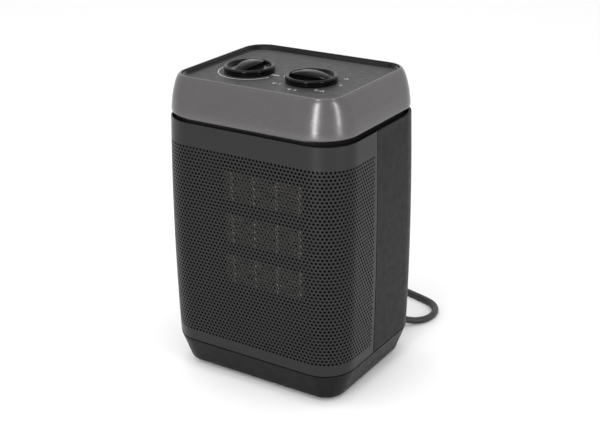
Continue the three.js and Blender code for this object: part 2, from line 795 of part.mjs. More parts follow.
const finishes = {
  darkPlastic: { color: 0x1b1b1d, roughness: 0.5, metalness: 0 },
  glossPlastic: { color: 0x0e0e10, roughness: 0.2, metalness: 0 },
  panelPlastic: { color: 0x454345, roughness: 0.6, metalness: 0 },
  bandPaint: { color: 0x8a8688, roughness: 0.32, metalness: 0.7 },
  steelPaint: { color: 0x3a393a, roughness: 0.5, metalness: 0.4 },
  aluminium: { color: 0xb9b6ac, roughness: 0.4, metalness: 1 },
  ceramic: { color: 0xd8d2bd, roughness: 0.6, metalness: 0 },
  steel: { color: 0x9a9a9c, roughness: 0.35, metalness: 1 },
  copper: { color: 0xb4683a, roughness: 0.4, metalness: 1 },
  nylon: { color: 0xe6e4da, roughness: 0.5, metalness: 0 },
  rubber: { color: 0x141414, roughness: 0.85, metalness: 0 },
  cord: { color: 0x101011, roughness: 0.55, metalness: 0 },
  brass: { color: 0xc8b273, roughness: 0.3, metalness: 1 },
};

const group = new THREE.Group();

function add(name, geometry, finish, place = [0, 0, 0], turn = 0) {
  const mesh = new THREE.Mesh(closed(geometry), new THREE.MeshStandardMaterial(finishes[finish]));
  mesh.name = name;
  mesh.position.set(...place);
  mesh.rotation.z = turn;
  group.add(mesh);
}

function addFoot() {
  add("turntable_foot", turntableFoot(), "darkPlastic");
  [[-1, -1], [1, -1], [-1, 1], [1, 1]].forEach(([x, y], i) => {
    const reach = padCircle * Math.SQRT1_2;
    add(`foot_pad_${i + 1}`, footPad(x * reach, y * reach), "rubber");
  });
  add("slide_ring", slideRing(), "nylon");
  add("pivot_retainer", pivotRetainer(), "steel");
  add("swing_track", swingTrack(), "nylon");
  add("tip_switch", tipSwitch(), "glossPlastic");
  add("tip_plunger", tipPlunger(), "nylon", [0, plungerY, 0]);
}

function addHousing() {
  add("base_cover", baseCover(), "darkPlastic");
  screwPlaces().forEach((place, i) => add(`base_screw_${i + 1}`, baseScrew(place), "steel"));
  add("lower_deck", lowerDeck(), "darkPlastic");
  add("swing_motor", swingMotorCan(), "steel");
  add("swing_crank", swingCrank(), "nylon");
  add("front_grille", frontGrille(), "steelPaint");
  add("rear_shell", rearShell(), "darkPlastic");
  add("upper_collar", upperCollar(), "darkPlastic");
  add("top_band", topBand(), "bandPaint");
  add("control_panel", controlPanel(), "panelPlastic");
  add("terminal_block", terminalBlock(), "nylon");
}

function addControls() {
  const thermostat = [thermostatAt.x, thermostatAt.y, 0];
  const selector = [selectorAt.x, selectorAt.y, 0];
  add("thermostat_knob", knob(), "glossPlastic", thermostat, Math.PI / 2);
  add("thermostat_shaft", controlShaft(), "steel", thermostat);
  add("thermostat_body", thermostatBody(), "ceramic", thermostat);
  add("selector_knob", knob(), "glossPlastic", selector, Math.PI);
  add("selector_shaft", controlShaft(), "nylon", selector);
  add("selector_switch", selectorSwitch(), "glossPlastic", selector);
}

function addHeater() {
  add("element_frame", elementFrame(), "glossPlastic");
  for (let i = 0; i < barCount; i += 1) add(`ceramic_bar_${i + 1}`, ceramicBar(i), "ceramic");
  for (let i = 0; i <= barCount; i += 1) add(`fin_block_${i + 1}`, finBlock(i), "aluminium");
  add("thermal_cutout", thermalCutout(), "glossPlastic");
  add("air_duct", airDuct(), "darkPlastic");
}

function addFan() {
  add("fan_shroud", fanShroud(), "darkPlastic");
  add("impeller", impeller(), "glossPlastic");
  add("fan_shaft", fanShaft(), "steel");
  add("motor_rotor", motorRotor(), "steel");
  add("motor_stator", motorStator(), "steel");
  add("motor_coil", motorCoil(), "copper");
  add("motor_spider", motorSpider(), "darkPlastic");
  add("rear_bearing", rearBearing(), "steel");
}

function addCord() {
  add("strain_relief", strainRelief(), "rubber");
  add("cord_run", tube(cordRoute, cordDiameter, 40), "cord");
  add("cord_coil", coilRing(), "cord");
  add("cord_tie", cordTie(), "rubber");
  add("cord_tail", tube(tailRoute, cordDiameter, 8), "cord");
  add("plug_body", atPlug(turned(plugProfile, 28)), "rubber");
  add("plug_pin_1", plugPinAt(-1), "brass");
  add("plug_pin_2", plugPinAt(1), "brass");
}

addFoot();
addHousing();
addControls();
addHeater();
addFan();
addCord();

export default group;
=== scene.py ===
"""Ceramic fan heater with a perforated steel front, two rotary controls and a turntable foot.

Metres, +Z up, the front looks along -Y and the floor is z = 0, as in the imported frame.
"""

import json
import logging
import math
from dataclasses import dataclass, field
from enum import Enum
from typing import Callable, Iterable, Sequence

import bmesh
import bpy
import numpy as np
from mathutils import Matrix, Vector

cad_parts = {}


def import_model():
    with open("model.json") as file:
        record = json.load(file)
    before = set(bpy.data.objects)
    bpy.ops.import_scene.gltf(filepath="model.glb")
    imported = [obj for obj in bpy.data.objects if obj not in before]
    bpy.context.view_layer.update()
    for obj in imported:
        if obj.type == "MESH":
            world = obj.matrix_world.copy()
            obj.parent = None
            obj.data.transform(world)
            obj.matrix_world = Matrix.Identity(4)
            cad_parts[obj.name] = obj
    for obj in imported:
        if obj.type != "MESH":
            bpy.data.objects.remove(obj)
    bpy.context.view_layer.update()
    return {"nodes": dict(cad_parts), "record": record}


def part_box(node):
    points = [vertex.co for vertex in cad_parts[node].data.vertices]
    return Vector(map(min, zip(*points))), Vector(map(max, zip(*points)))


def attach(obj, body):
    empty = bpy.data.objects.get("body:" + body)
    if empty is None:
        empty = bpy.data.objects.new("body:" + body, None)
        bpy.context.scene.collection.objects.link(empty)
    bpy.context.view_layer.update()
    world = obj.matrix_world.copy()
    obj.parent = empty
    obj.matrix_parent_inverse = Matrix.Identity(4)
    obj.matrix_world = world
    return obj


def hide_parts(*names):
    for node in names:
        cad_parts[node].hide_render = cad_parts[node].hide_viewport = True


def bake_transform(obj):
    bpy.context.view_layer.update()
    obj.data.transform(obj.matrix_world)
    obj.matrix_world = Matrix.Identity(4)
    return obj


LOG = logging.getLogger("heater")
MM = 0.001

Point = tuple[float, float]
Colour = tuple[float, float, float]


# ---------------------------------------------------------------- finishes


class Relief(Enum):
    """The small-scale surface a finish has."""

    SPARK = "fine moulded grain"
    LEATHER = "pebbled grain"
    SATIN = "sprayed metallic paint"
    POLISHED = "moulded gloss with faint handling marks"
    DRAWN = "lines left by rolling or turning"
    WOUND = "turns of enamelled wire"


@dataclass(frozen=True)
class Finish:
    """One procedural surface: its colour, gloss and grain, and how much each varies."""

    name: str
    colour: Colour
    roughness: float
    relief: Relief
    metallic: float = 0.0
    mottle: float = 0.12
    spread: float = 0.06
    grain: float = 2200.0
    depth: float = 0.00004
    bump: float = 0.35
    wear: float = 0.25
    coat: float = 0.0
    specular: float = 0.5

    def build(self) -> bpy.types.Material:
        """Makes the material once and gives the same one afterwards.

        Returns:
            The Blender material with this name.
        """
        known = bpy.data.materials.get(self.name)
        if known is not None:
            return known
        material = bpy.data.materials.new(self.name)
        material.use_nodes = True
        tree = material.node_tree
        shader = tree.nodes["Principled BSDF"]
        shader.inputs["Metallic"].default_value = self.metallic
        shader.inputs["Coat Weight"].default_value = self.coat
        shader.inputs["Coat Roughness"].default_value = 0.08
        shader.inputs["Specular IOR Level"].default_value = self.specular
        place = tree.nodes.new("ShaderNodeTexCoord")
        self._colour(tree, place, shader)
        self._gloss(tree, place, shader)
        self._grain(tree, place, shader)
        return material

    def _noise(
        self, tree: bpy.types.NodeTree, place: bpy.types.Node, scale: float, detail: float,
    ) -> bpy.types.Node:
        """Adds a noise texture on Object coordinates.

        Args:
            tree: The material's node tree.
            place: Its texture coordinate node.
            scale: Features per metre.
            detail: Octaves.

        Returns:
            The noise node.
        """
        noise = tree.nodes.new("ShaderNodeTexNoise")
        noise.inputs["Scale"].default_value = scale
        noise.inputs["Detail"].default_value = detail
        tree.links.new(place.outputs["Object"], noise.inputs["Vector"])
        return noise

    def _colour(self, tree: bpy.types.NodeTree, place: bpy.types.Node, shader: bpy.types.Node) -> None:
        """Blends a darker and a lighter shade in soft patches, and lightens worn edges.

        Args:
            tree: The material's node tree.
            place: Its texture coordinate node.
            shader: Its surface shader.
        """
        patches = self._noise(tree, place, 34.0, 4.0)
        shades = tree.nodes.new("ShaderNodeMix")
        shades.data_type = "RGBA"
        shades.inputs[6].default_value = (*(c * (1 - self.mottle) for c in self.colour), 1)
        shades.inputs[7].default_value = (*(c * (1 + self.mottle) for c in self.colour), 1)
        tree.links.new(patches.outputs["Fac"], shades.inputs[0])
        edges = tree.nodes.new("ShaderNodeNewGeometry")
        ridge = tree.nodes.new("ShaderNodeMapRange")
        ridge.inputs["From Min"].default_value = 0.52
        ridge.inputs["From Max"].default_value = 0.64
        ridge.inputs["To Max"].default_value = self.wear
        tree.links.new(edges.outputs["Pointiness"], ridge.inputs["Value"])
        worn = tree.nodes.new("ShaderNodeMix")
        worn.data_type = "RGBA"
        worn.inputs[7].default_value = (*(min(1.0, c * 1.8 + 0.02) for c in self.colour), 1)
        tree.links.new(ridge.outputs["Result"], worn.inputs[0])
        tree.links.new(shades.outputs[2], worn.inputs[6])
        tree.links.new(worn.outputs[2], shader.inputs["Base Color"])

    def _gloss(self, tree: bpy.types.NodeTree, place: bpy.types.Node, shader: bpy.types.Node) -> None:
        """Varies the roughness between two values in small patches.

        Args:
            tree: The material's node tree.
            place: Its texture coordinate node.
            shader: Its surface shader.
        """
        smears = self._noise(tree, place, 160.0, 5.0)
        spread = tree.nodes.new("ShaderNodeMapRange")
        spread.inputs["From Min"].default_value = 0.3
        spread.inputs["From Max"].default_value = 0.7
        spread.inputs["To Min"].default_value = max(0.02, self.roughness - self.spread)
        spread.inputs["To Max"].default_value = min(1.0, self.roughness + self.spread)
        tree.links.new(smears.outputs["Fac"], spread.inputs["Value"])
        tree.links.new(spread.outputs["Result"], shader.inputs["Roughness"])

    def _grain(self, tree: bpy.types.NodeTree, place: bpy.types.Node, shader: bpy.types.Node) -> None:
        """Adds the relief as a bump.

        Args:
            tree: The material's node tree.
            place: Its texture coordinate node.
            shader: Its surface shader.
        """
        height = self._height(tree, place)
        bump = tree.nodes.new("ShaderNodeBump")
        bump.inputs["Strength"].default_value = self.bump
        bump.inputs["Distance"].default_value = self.depth
        tree.links.new(height, bump.inputs["Height"])
        tree.links.new(bump.outputs["Normal"], shader.inputs["Normal"])

    def _height(self, tree: bpy.types.NodeTree, place: bpy.types.Node) -> bpy.types.NodeSocket:
        """Makes the height pattern that belongs to the relief.

        Args:
            tree: The material's node tree.
            place: Its texture coordinate node.

        Returns:
            The socket that carries the height.
        """
        if self.relief is Relief.LEATHER:
            pebbles = tree.nodes.new("ShaderNodeTexVoronoi")
            pebbles.inputs["Scale"].default_value = self.grain
            pebbles.inputs["Randomness"].default_value = 0.9
            tree.links.new(place.outputs["Object"], pebbles.inputs["Vector"])
            return pebbles.outputs["Distance"]
        if self.relief is Relief.WOUND:
            turns = tree.nodes.new("ShaderNodeTexWave")
            turns.bands_direction = "X"
            turns.inputs["Scale"].default_value = self.grain
            turns.inputs["Distortion"].default_value = 0.6
            tree.links.new(place.outputs["Object"], turns.inputs["Vector"])
            return turns.outputs["Fac"]
        if self.relief is Relief.DRAWN:
            stretch = tree.nodes.new("ShaderNodeMapping")
            stretch.inputs["Scale"].default_value = (1.0, 1.0, 0.05)
            tree.links.new(place.outputs["Object"], stretch.inputs["Vector"])
            lines = self._noise(tree, place, self.grain, 3.0)
            tree.links.new(stretch.outputs["Vector"], lines.inputs["Vector"])
            return lines.outputs["Fac"]
        return self._noise(tree, place, self.grain, 2.0).outputs["Fac"]


HOUSING = Finish("housing_plastic", (0.005, 0.0049, 0.0051), 0.42, Relief.SPARK, mottle=0.1, depth=0.00003,
                 specular=0.1)
GLOSS = Finish("gloss_plastic", (0.002, 0.002, 0.0025), 0.14, Relief.POLISHED, spread=0.04, grain=420.0,
               depth=0.000012, bump=0.12, wear=0.12, coat=0.0, specular=0.14)
PANEL = Finish("panel_grain", (0.036, 0.034, 0.036), 0.5, Relief.LEATHER, grain=780.0,
               depth=0.00016, bump=0.75, specular=0.3)
BAND = Finish("band_titanium", (0.128, 0.123, 0.126), 0.26, Relief.SATIN, metallic=0.92, mottle=0.04,
              spread=0.03, grain=5200.0, depth=0.000004, bump=0.08, wear=0.0, specular=0.3)
GRILLE = Finish("grille_paint", (0.027, 0.026, 0.027), 0.36, Relief.SATIN, metallic=0.55, mottle=0.05,
                spread=0.04, grain=3600.0, depth=0.00001, bump=0.2, wear=0.0, specular=0.2)
STEEL = Finish("zinc_steel_plate", (0.055, 0.055, 0.056), 0.5, Relief.DRAWN, metallic=0.5,
               mottle=0.08, specular=0.1)
FINS = Finish("fin_sheet", (0.3, 0.29, 0.23), 0.6, Relief.DRAWN, metallic=0.3, mottle=0.14, specular=0.1)
CERAMIC = Finish("ceramic_bar_glaze", (0.4, 0.38, 0.31), 0.7, Relief.SPARK, mottle=0.08,
                 grain=1500.0, specular=0.1)
NYLON = Finish("natural_nylon", (0.72, 0.7, 0.63), 0.48, Relief.SPARK, mottle=0.05, grain=1400.0)
RUBBER = Finish("moulded_rubber", (0.0125, 0.0125, 0.0125), 0.68, Relief.SPARK, mottle=0.18, grain=1300.0)
SHEATH = Finish("cord_sheath", (0.0115, 0.0115, 0.012), 0.46, Relief.POLISHED, grain=900.0, depth=0.00002)
COPPER = Finish("copper_turns", (0.42, 0.17, 0.075), 0.34, Relief.WOUND, metallic=1.0,
                grain=260.0, depth=0.0002)
PINS = Finish("plated_pins", (0.62, 0.58, 0.46), 0.24, Relief.DRAWN, metallic=1.0, mottle=0.06)
PRINT = Finish("dial_ink", (0.62, 0.62, 0.62), 0.6, Relief.SPARK, mottle=0.06, wear=0.0)
STUDIO = Finish("studio_floor", (0.9, 0.9, 0.9), 0.85, Relief.SPARK, mottle=0.01, grain=40.0, wear=0.0)

SLOT_FINISH: dict[str, Finish] = {
    "dark_plastic": HOUSING, "gloss_black": GLOSS, "panel_plastic": PANEL, "band_paint": BAND,
    "grille_steel": GRILLE, "zinc_steel": STEEL, "fin_aluminium": FINS, "nylon": NYLON,
    "black_rubber": RUBBER, "cord_pvc": SHEATH, "copper_winding": COPPER, "plug_brass": PINS,
}


# ---------------------------------------------------------------- mesh making


class Mesher:
    """Makes closed meshes whose place is in their vertices."""

    @staticmethod
    def make(name: str, points: np.ndarray, faces: Sequence[Sequence[int]], finishes: Sequence[Finish],
             shades: Sequence[int] = (), sharp: float = 32.0) -> bpy.types.Object:
        """Makes an object at the origin.

        Args:
            name: The piece's name.
            points: Vertices in the row frame.
            faces: Vertex numbers of each face, anticlockwise from outside.
            finishes: The piece's materials.
            shades: Which material each face has, all the first if empty.
            sharp: Degrees above which an edge stays sharp.

        Returns:
            The object.
        """
        mesh = bpy.data.meshes.new(name)
        mesh.from_pydata([tuple(p) for p in points], [], [tuple(f) for f in faces])
        for finish in finishes:
            mesh.materials.append(finish.build())
        if len(shades):
            mesh.polygons.foreach_set("material_index", list(shades))
        thing = bpy.data.objects.new(name, mesh)
        bpy.context.scene.collection.objects.link(thing)
        Mesher.smooth(thing, sharp)
        return thing

    @staticmethod
    def smooth(thing: bpy.types.Object, sharp: float = 32.0) -> None:
        """Shades a mesh smooth up to an edge angle in degrees.

        Args:
            thing: The piece.
            sharp: The angle past which an edge stays sharp.
        """
        thing.data.update()
        thing.data.shade_smooth()
        thing.data.set_sharp_from_angle(angle=math.radians(sharp))

    @staticmethod
    def skin(rings: Sequence[np.ndarray], endless: bool) -> tuple[np.ndarray, list[list[int]]]:
        """Joins rings of equal length into one closed surface.

        Args:
            rings: Rings of points, each anticlockwise about the way the surface grows.
            endless: True joins the last ring to the first; False closes both ends.

        Returns:
            Points and faces.
        """
        count = len(rings[0])
        faces: list[list[int]] = []
        for i in range(len(rings) if endless else len(rings) - 1):
            here, there = i * count, ((i + 1) % len(rings)) * count
            for k in range(count):
                n = (k + 1) % count
                faces.append([here + k, here + n, there + n, there + k])
        if not endless:
            last = (len(rings) - 1) * count
            faces.append(list(range(count))[::-1])
            faces.append([last + k for k in range(count)])
        return np.concatenate(rings), faces

    @staticmethod
    def circle(radius: float, z: float, sides: int) -> np.ndarray:
        """Points of a circle about Z, anticlockwise from above."""
        a = np.linspace(0, 2 * math.pi, sides, endpoint=False)
        return np.stack([radius * np.cos(a), radius * np.sin(a), np.full(sides, z)], 1)

    @staticmethod
    def turned(
        profile: Sequence[Point], sides: int, endless: bool = False,
    ) -> tuple[np.ndarray, list[list[int]]]:
        """A turned surface about Z through (radius, z) points, which run up its outside."""
        return Mesher.skin([Mesher.circle(max(r, 1e-6), z, sides) for r, z in profile], endless)

    @staticmethod
    def joined(parts: Iterable[tuple[np.ndarray, list[list[int]]]]) -> tuple[np.ndarray, list[list[int]]]:
        """Puts several meshes in one list of points and faces.

        Args:
            parts: Points and faces of each mesh.

        Returns:
            Points and faces of them all.
        """
        points: list[np.ndarray] = []
        faces: list[list[int]] = []
        total = 0
        for p, f in parts:
            points.append(np.asarray(p))
            faces.extend([[i + total for i in face] for face in f])
            total += len(p)
        return np.concatenate(points), faces

    @staticmethod
    def weld(thing: bpy.types.Object, more: tuple[np.ndarray, list[list[int]]], finish: Finish) -> None:
        """Adds a mesh to a piece, joins corners that meet, and gives the whole one finish.

        Args:
            thing: The piece.
            more: Points and faces to add.
            finish: The finish of the whole piece.
        """
        extra = Mesher.make("extra_mesh", *more, [])
        work = bmesh.new()
        work.from_mesh(thing.data)
        work.from_mesh(extra.data)
        bmesh.ops.remove_doubles(work, verts=work.verts, dist=0.000004)
        work.to_mesh(thing.data)
        work.free()
        bpy.data.objects.remove(extra)
        thing.data.materials.clear()
        thing.data.materials.append(finish.build())
        thing.data.polygons.foreach_set("material_index", [0] * len(thing.data.polygons))
        Mesher.smooth(thing)

    @staticmethod
    def cut(
        thing: bpy.types.Object, cutters: Sequence[tuple[np.ndarray, list[list[int]]]],
    ) -> bpy.types.Object:
        """Takes closed shapes out of a piece.

        Args:
            thing: The piece.
            cutters: Points and faces of each shape to take away.

        Returns:
            The same piece with its mesh changed.
        """
        for points, faces in cutters:
            tool = Mesher.make("cutting_tool", points, faces, [])
            taken = thing.modifiers.new("taken", "BOOLEAN")
            taken.operation = "DIFFERENCE"
            taken.solver = "EXACT"
            taken.object = tool
            graph = bpy.context.evaluated_depsgraph_get()
            result = bpy.data.meshes.new_from_object(thing.evaluated_get(graph))
            thing.modifiers.remove(taken)
            thing.data = result
            bpy.data.objects.remove(tool)
        Mesher.smooth(thing)
        return thing


@dataclass(frozen=True)
class Inset:
    """How far a level lies inside the widest outline, and its corner radius."""

    x: float
    y: float
    r: float

    def inside(self, wall: float) -> "Inset":
        """The level taken in by a wall."""
        return Inset(self.x + wall, self.y + wall, max(self.r - wall, 2 * MM))


@dataclass(frozen=True)
class Outline:
    """The rounded rectangle that every shell of the body follows."""

    half_width: float = 86.5 * MM
    half_depth: float = 71 * MM
    corner_steps: int = 14
    side_steps: int = 8

    def ring(self, z: float, inset: Inset, wall: float = 0.0) -> np.ndarray:
        """Points round one level, anticlockwise from above.

        Args:
            z: Height.
            inset: How far the level lies inside the widest outline.
            wall: A further distance inwards.

        Returns:
            An array of points.
        """
        at = inset.inside(wall) if wall else inset
        hx, hy = self.half_width - at.x, self.half_depth - at.y
        corners: list[np.ndarray] = []
        for corner in range(4):
            sx = 1 if corner in (0, 3) else -1
            sy = 1 if corner < 2 else -1
            a = (corner + np.linspace(0, 1, self.corner_steps + 1)) * math.pi / 2
            corners.append(np.stack([sx * (hx - at.r) + at.r * np.cos(a), sy * (hy - at.r) + at.r * np.sin(a)], 1))
        flat: list[np.ndarray] = []
        for corner in range(4):
            here, there = corners[corner][-1], corners[(corner + 1) % 4][0]
            steps = np.linspace(0, 1, self.side_steps + 1)[1:-1, None]
            flat += [corners[corner], here + (there - here) * steps]
        ring = np.concatenate(flat)
        return np.c_[ring, np.full(len(ring), z)]

    def round(self, like: np.ndarray, radius: float, z: float) -> np.ndarray:
        """A circle whose points lie in the directions of another ring's points."""
        a = np.arctan2(like[:, 1], like[:, 0])
        return np.stack([radius * np.cos(a), radius * np.sin(a), np.full(len(a), z)], 1)


class Facing(Enum):
    """Which half of the barrel a wrapped sheet covers."""

    FRONT = 1
    REAR = -1


@dataclass(frozen=True)
class Barrel:
    """The gently swelling wall between base and band, on which flat sheets are wrapped."""

    outline: Outline = Outline()
    low: float = 29.1 * MM
    high: float = 223.7 * MM
    foot: Inset = Inset(1.5 * MM, 1.6 * MM, 27.6 * MM)
    belly: Inset = Inset(0.0, 0.0, 29 * MM)
    head: Inset = Inset(0.8 * MM, 1.8 * MM, 29.5 * MM)

    def sizes(self, z: np.ndarray) -> tuple[np.ndarray, np.ndarray, np.ndarray]:
        """Half width, half depth and corner radius at each height.

        Args:
            z: Heights above the floor.

        Returns:
            The three sizes, one value for each height.
        """
        t = (z - self.low) / (self.high - self.low)
        shares = (2 * (t - 0.5) * (t - 1), 4 * t * (1 - t), 2 * t * (t - 0.5))
        at = [sum(s * getattr(level, key) for s, level in zip(shares, (self.foot, self.belly, self.head)))
              for key in ("x", "y", "r")]
        half_width = self.outline.half_width - np.maximum(at[0], 0)
        half_depth = self.outline.half_depth - np.maximum(at[1], 0)
        return half_width, half_depth, at[2]

    def half_length(self, z: np.ndarray, edge: float) -> np.ndarray:
        """Distance round the wall from the centre line to the seam."""
        hx, hy, r = self.sizes(z)
        return hx - r + r * math.pi / 2 + hy - r + edge

    def middle_length(self, edge: float) -> float:
        """The half length at the belly, which a flat sheet is drawn to."""
        return float(self.half_length(np.array([(self.low + self.high) / 2]), edge)[0])

    def wrap(self, flat: np.ndarray, edge: float, facing: Facing) -> np.ndarray:
        """Lays a flat sheet on the wall.

        Args:
            flat: Points as (distance round, depth inwards, height).
            edge: Where the sheet ends on the side wall, towards its own back.
            facing: The half that it covers.

        Returns:
            Points in the row frame.
        """
        z = flat[:, 2]
        hx, hy, r = self.sizes(z)
        s = np.abs(flat[:, 0]) * self.half_length(z, edge) / self.middle_length(edge)
        front, arc = hx - r, r * math.pi / 2
        a = np.clip((s - front) / r, 0, math.pi / 2)
        nx, ny = np.sin(a), -np.cos(a)
        x = np.minimum(s, front) + r * nx
        y = -(hy - r) + r * ny + np.maximum(s - front - arc, 0)
        x, y = x - nx * flat[:, 1], y - ny * flat[:, 1]
        side = np.where(flat[:, 0] < 0, -1.0, 1.0)
        return np.stack([x * side, y, z], 1) * np.array([facing.value, facing.value, 1])

    def clothe(self, piece: bpy.types.Object, edge: float, facing: Facing) -> None:
        """Wraps a piece that was made flat, in place.

        Args:
            piece: The flat piece.
            edge: Where it ends on the side wall.
            facing: The half that it covers.
        """
        flat = np.empty(len(piece.data.vertices) * 3)
        piece.data.vertices.foreach_get("co", flat)
        piece.data.vertices.foreach_set("co", self.wrap(flat.reshape(-1, 3), edge, facing).ravel())
        Mesher.smooth(piece, 40)


class Sheet:
    """Flat polygons that become a sheet with a front, a back and walls at its edges."""

    def __init__(self, thickness: float) -> None:
        """Starts an empty sheet of that thickness."""
        self.thickness = thickness
        self.places: dict[tuple[int, int], int] = {}
        self.points: list[Point] = []
        self.faces: list[list[int]] = []

    def face(self, corners: Iterable[Point]) -> None:
        """Adds a polygon, anticlockwise from the front.

        Args:
            corners: Its corners as (distance round, height).
        """
        found: list[int] = []
        for u, z in corners:
            key = (round(u * 1e7), round(z * 1e7))
            if key not in self.places:
                self.places[key] = len(self.points)
                self.points.append((u, z))
            found.append(self.places[key])
        self.faces.append(found)

    def solid(self, is_edge: Callable[[Point, Point], bool]) -> tuple[np.ndarray, list[list[int]]]:
        """Gives the sheet its back and its walls.

        Args:
            is_edge: Says whether an open edge gets a wall.

        Returns:
            Points as (distance round, depth, height), and faces.
        """
        flat = np.array(self.points)
        count = len(flat)
        front = np.stack([flat[:, 0], np.zeros(count), flat[:, 1]], 1)
        back = front + np.array([0, self.thickness, 0])
        faces = [list(f) for f in self.faces] + [[i + count for i in f[::-1]] for f in self.faces]
        used = {(a, b) for f in self.faces for a, b in zip(f, f[1:] + f[:1])}
        for a, b in sorted(used):
            if (b, a) not in used and is_edge(self.points[a], self.points[b]):
                faces.append([b, a, a + count, b + count])
        return np.concatenate([front, back]), faces


# ---------------------------------------------------------------- geometry nodes


class CopyField:
    """A Geometry Nodes tree that sets out copies of one cell in rows."""

    INPUTS: tuple[tuple[str, str], ...] = (
        ("Cell", "NodeSocketObject"), ("Columns", "NodeSocketInt"), ("Count", "NodeSocketInt"),
        ("Origin", "NodeSocketVector"), ("Column Step", "NodeSocketVector"), ("Row Step", "NodeSocketVector"),
        ("Row Shift", "NodeSocketVector"), ("Weld", "NodeSocketFloat"), ("Finish", "NodeSocketMaterial"),
    )

    def __init__(self) -> None:
        """Builds the tree."""
        tree = bpy.data.node_groups.new("copy_field", "GeometryNodeTree")
        tree.interface.new_socket(name="Geometry", in_out="OUTPUT", socket_type="NodeSocketGeometry")
        for name, kind in self.INPUTS:
            tree.interface.new_socket(name=name, in_out="INPUT", socket_type=kind)
        self.tree = tree
        self._wire(tree.nodes.new("NodeGroupInput"))

    def _math(self, operation: str, a: object, b: object) -> bpy.types.NodeSocket:
        """A number from two sockets or numbers.

        Args:
            operation: What the math node does.
            a: The first value or socket.
            b: The second value or socket.

        Returns:
            The socket that carries the result.
        """
        node = self.tree.nodes.new("ShaderNodeMath")
        node.operation = operation
        for i, value in enumerate((a, b)):
            if isinstance(value, bpy.types.NodeSocket):
                self.tree.links.new(value, node.inputs[i])
            else:
                node.inputs[i].default_value = value
        return node.outputs[0]

    def _times(self, step: bpy.types.NodeSocket, number: bpy.types.NodeSocket) -> bpy.types.NodeSocket:
        """A vector multiplied by a number.

        Args:
            step: The vector.
            number: The number.

        Returns:
            The socket that carries the product.
        """
        node = self.tree.nodes.new("ShaderNodeVectorMath")
        node.operation = "SCALE"
        self.tree.links.new(step, node.inputs[0])
        self.tree.links.new(number, node.inputs["Scale"])
        return node.outputs[0]

    def _plus(self, a: bpy.types.NodeSocket, b: bpy.types.NodeSocket) -> bpy.types.NodeSocket:
        """The sum of two vectors.

        Args:
            a: The first vector.
            b: The second vector.

        Returns:
            The socket that carries the sum.
        """
        node = self.tree.nodes.new("ShaderNodeVectorMath")
        node.operation = "ADD"
        self.tree.links.new(a, node.inputs[0])
        self.tree.links.new(b, node.inputs[1])
        return node.outputs[0]

    def _wire(self, given: bpy.types.Node) -> None:
        """Places the points, puts a cell on each, and realizes and dresses them.

        Args:
            given: The group's input node.
        """
        nodes, links = self.tree.nodes, self.tree.links
        index = nodes.new("GeometryNodeInputIndex").outputs[0]
        column = self._math("MODULO", index, given.outputs["Columns"])
        row = self._math("FLOOR", self._math("DIVIDE", index, given.outputs["Columns"]), 0.0)
        odd = self._math("MODULO", row, 2.0)
        place = self._plus(given.outputs["Origin"], self._times(given.outputs["Column Step"], column))
        place = self._plus(place, self._times(given.outputs["Row Step"], row))
        place = self._plus(place, self._times(given.outputs["Row Shift"], odd))
        line = nodes.new("GeometryNodeMeshLine")
        links.new(given.outputs["Count"], line.inputs["Count"])
        move = nodes.new("GeometryNodeSetPosition")
        links.new(line.outputs["Mesh"], move.inputs["Geometry"])
        links.new(place, move.inputs["Position"])
        cell = nodes.new("GeometryNodeObjectInfo")
        links.new(given.outputs["Cell"], cell.inputs["Object"])
        copies = nodes.new("GeometryNodeInstanceOnPoints")
        links.new(move.outputs["Geometry"], copies.inputs["Points"])
        links.new(cell.outputs["Geometry"], copies.inputs["Instance"])
        real = nodes.new("GeometryNodeRealizeInstances")
        links.new(copies.outputs["Instances"], real.inputs["Geometry"])
        weld = nodes.new("GeometryNodeMergeByDistance")
        links.new(real.outputs["Geometry"], weld.inputs["Geometry"])
        links.new(given.outputs["Weld"], weld.inputs["Distance"])
        dress = nodes.new("GeometryNodeSetMaterial")
        links.new(weld.outputs["Geometry"], dress.inputs["Geometry"])
        links.new(given.outputs["Finish"], dress.inputs["Material"])
        links.new(dress.outputs["Geometry"], nodes.new("NodeGroupOutput").inputs[0])

    def grow(self, name: str, cell: tuple[np.ndarray, list[list[int]]], finish: Finish, columns: int, rows: int,
             origin: Sequence[float], column_step: Sequence[float], row_step: Sequence[float],
             row_shift: Sequence[float] = (0, 0, 0)) -> bpy.types.Object:
        """Makes a plain mesh of copies.

        Args:
            name: The piece's name.
            cell: Points and faces of one cell.
            finish: The copies' finish.
            columns: Copies in a row.
            rows: Rows.
            origin: Place of the first copy.
            column_step: From one copy to the next.
            row_step: From one row to the next.
            row_shift: How far each odd row is moved.

        Returns:
            The object.
        """
        pattern = Mesher.make(f"{name}_cell", cell[0], cell[1], [])
        host = bpy.data.objects.new(name, bpy.data.meshes.new(name))
        bpy.context.scene.collection.objects.link(host)
        field_of_copies = host.modifiers.new("field", "NODES")
        field_of_copies.node_group = self.tree
        values = {
            "Cell": pattern, "Columns": columns, "Count": columns * rows, "Origin": tuple(origin),
            "Column Step": tuple(column_step), "Row Step": tuple(row_step), "Row Shift": tuple(row_shift),
            "Weld": 0.000002, "Finish": finish.build(),
        }
        for socket in self.tree.interface.items_tree:
            if socket.in_out == "INPUT":
                field_of_copies[socket.identifier] = values[socket.name]
        host.update_tag()
        done = bpy.data.meshes.new_from_object(host.evaluated_get(bpy.context.evaluated_depsgraph_get()))
        host.modifiers.remove(field_of_copies)
        host.data = done
        done.name = name
        bpy.data.objects.remove(pattern)
        return host


# ---------------------------------------------------------------- camera and studio


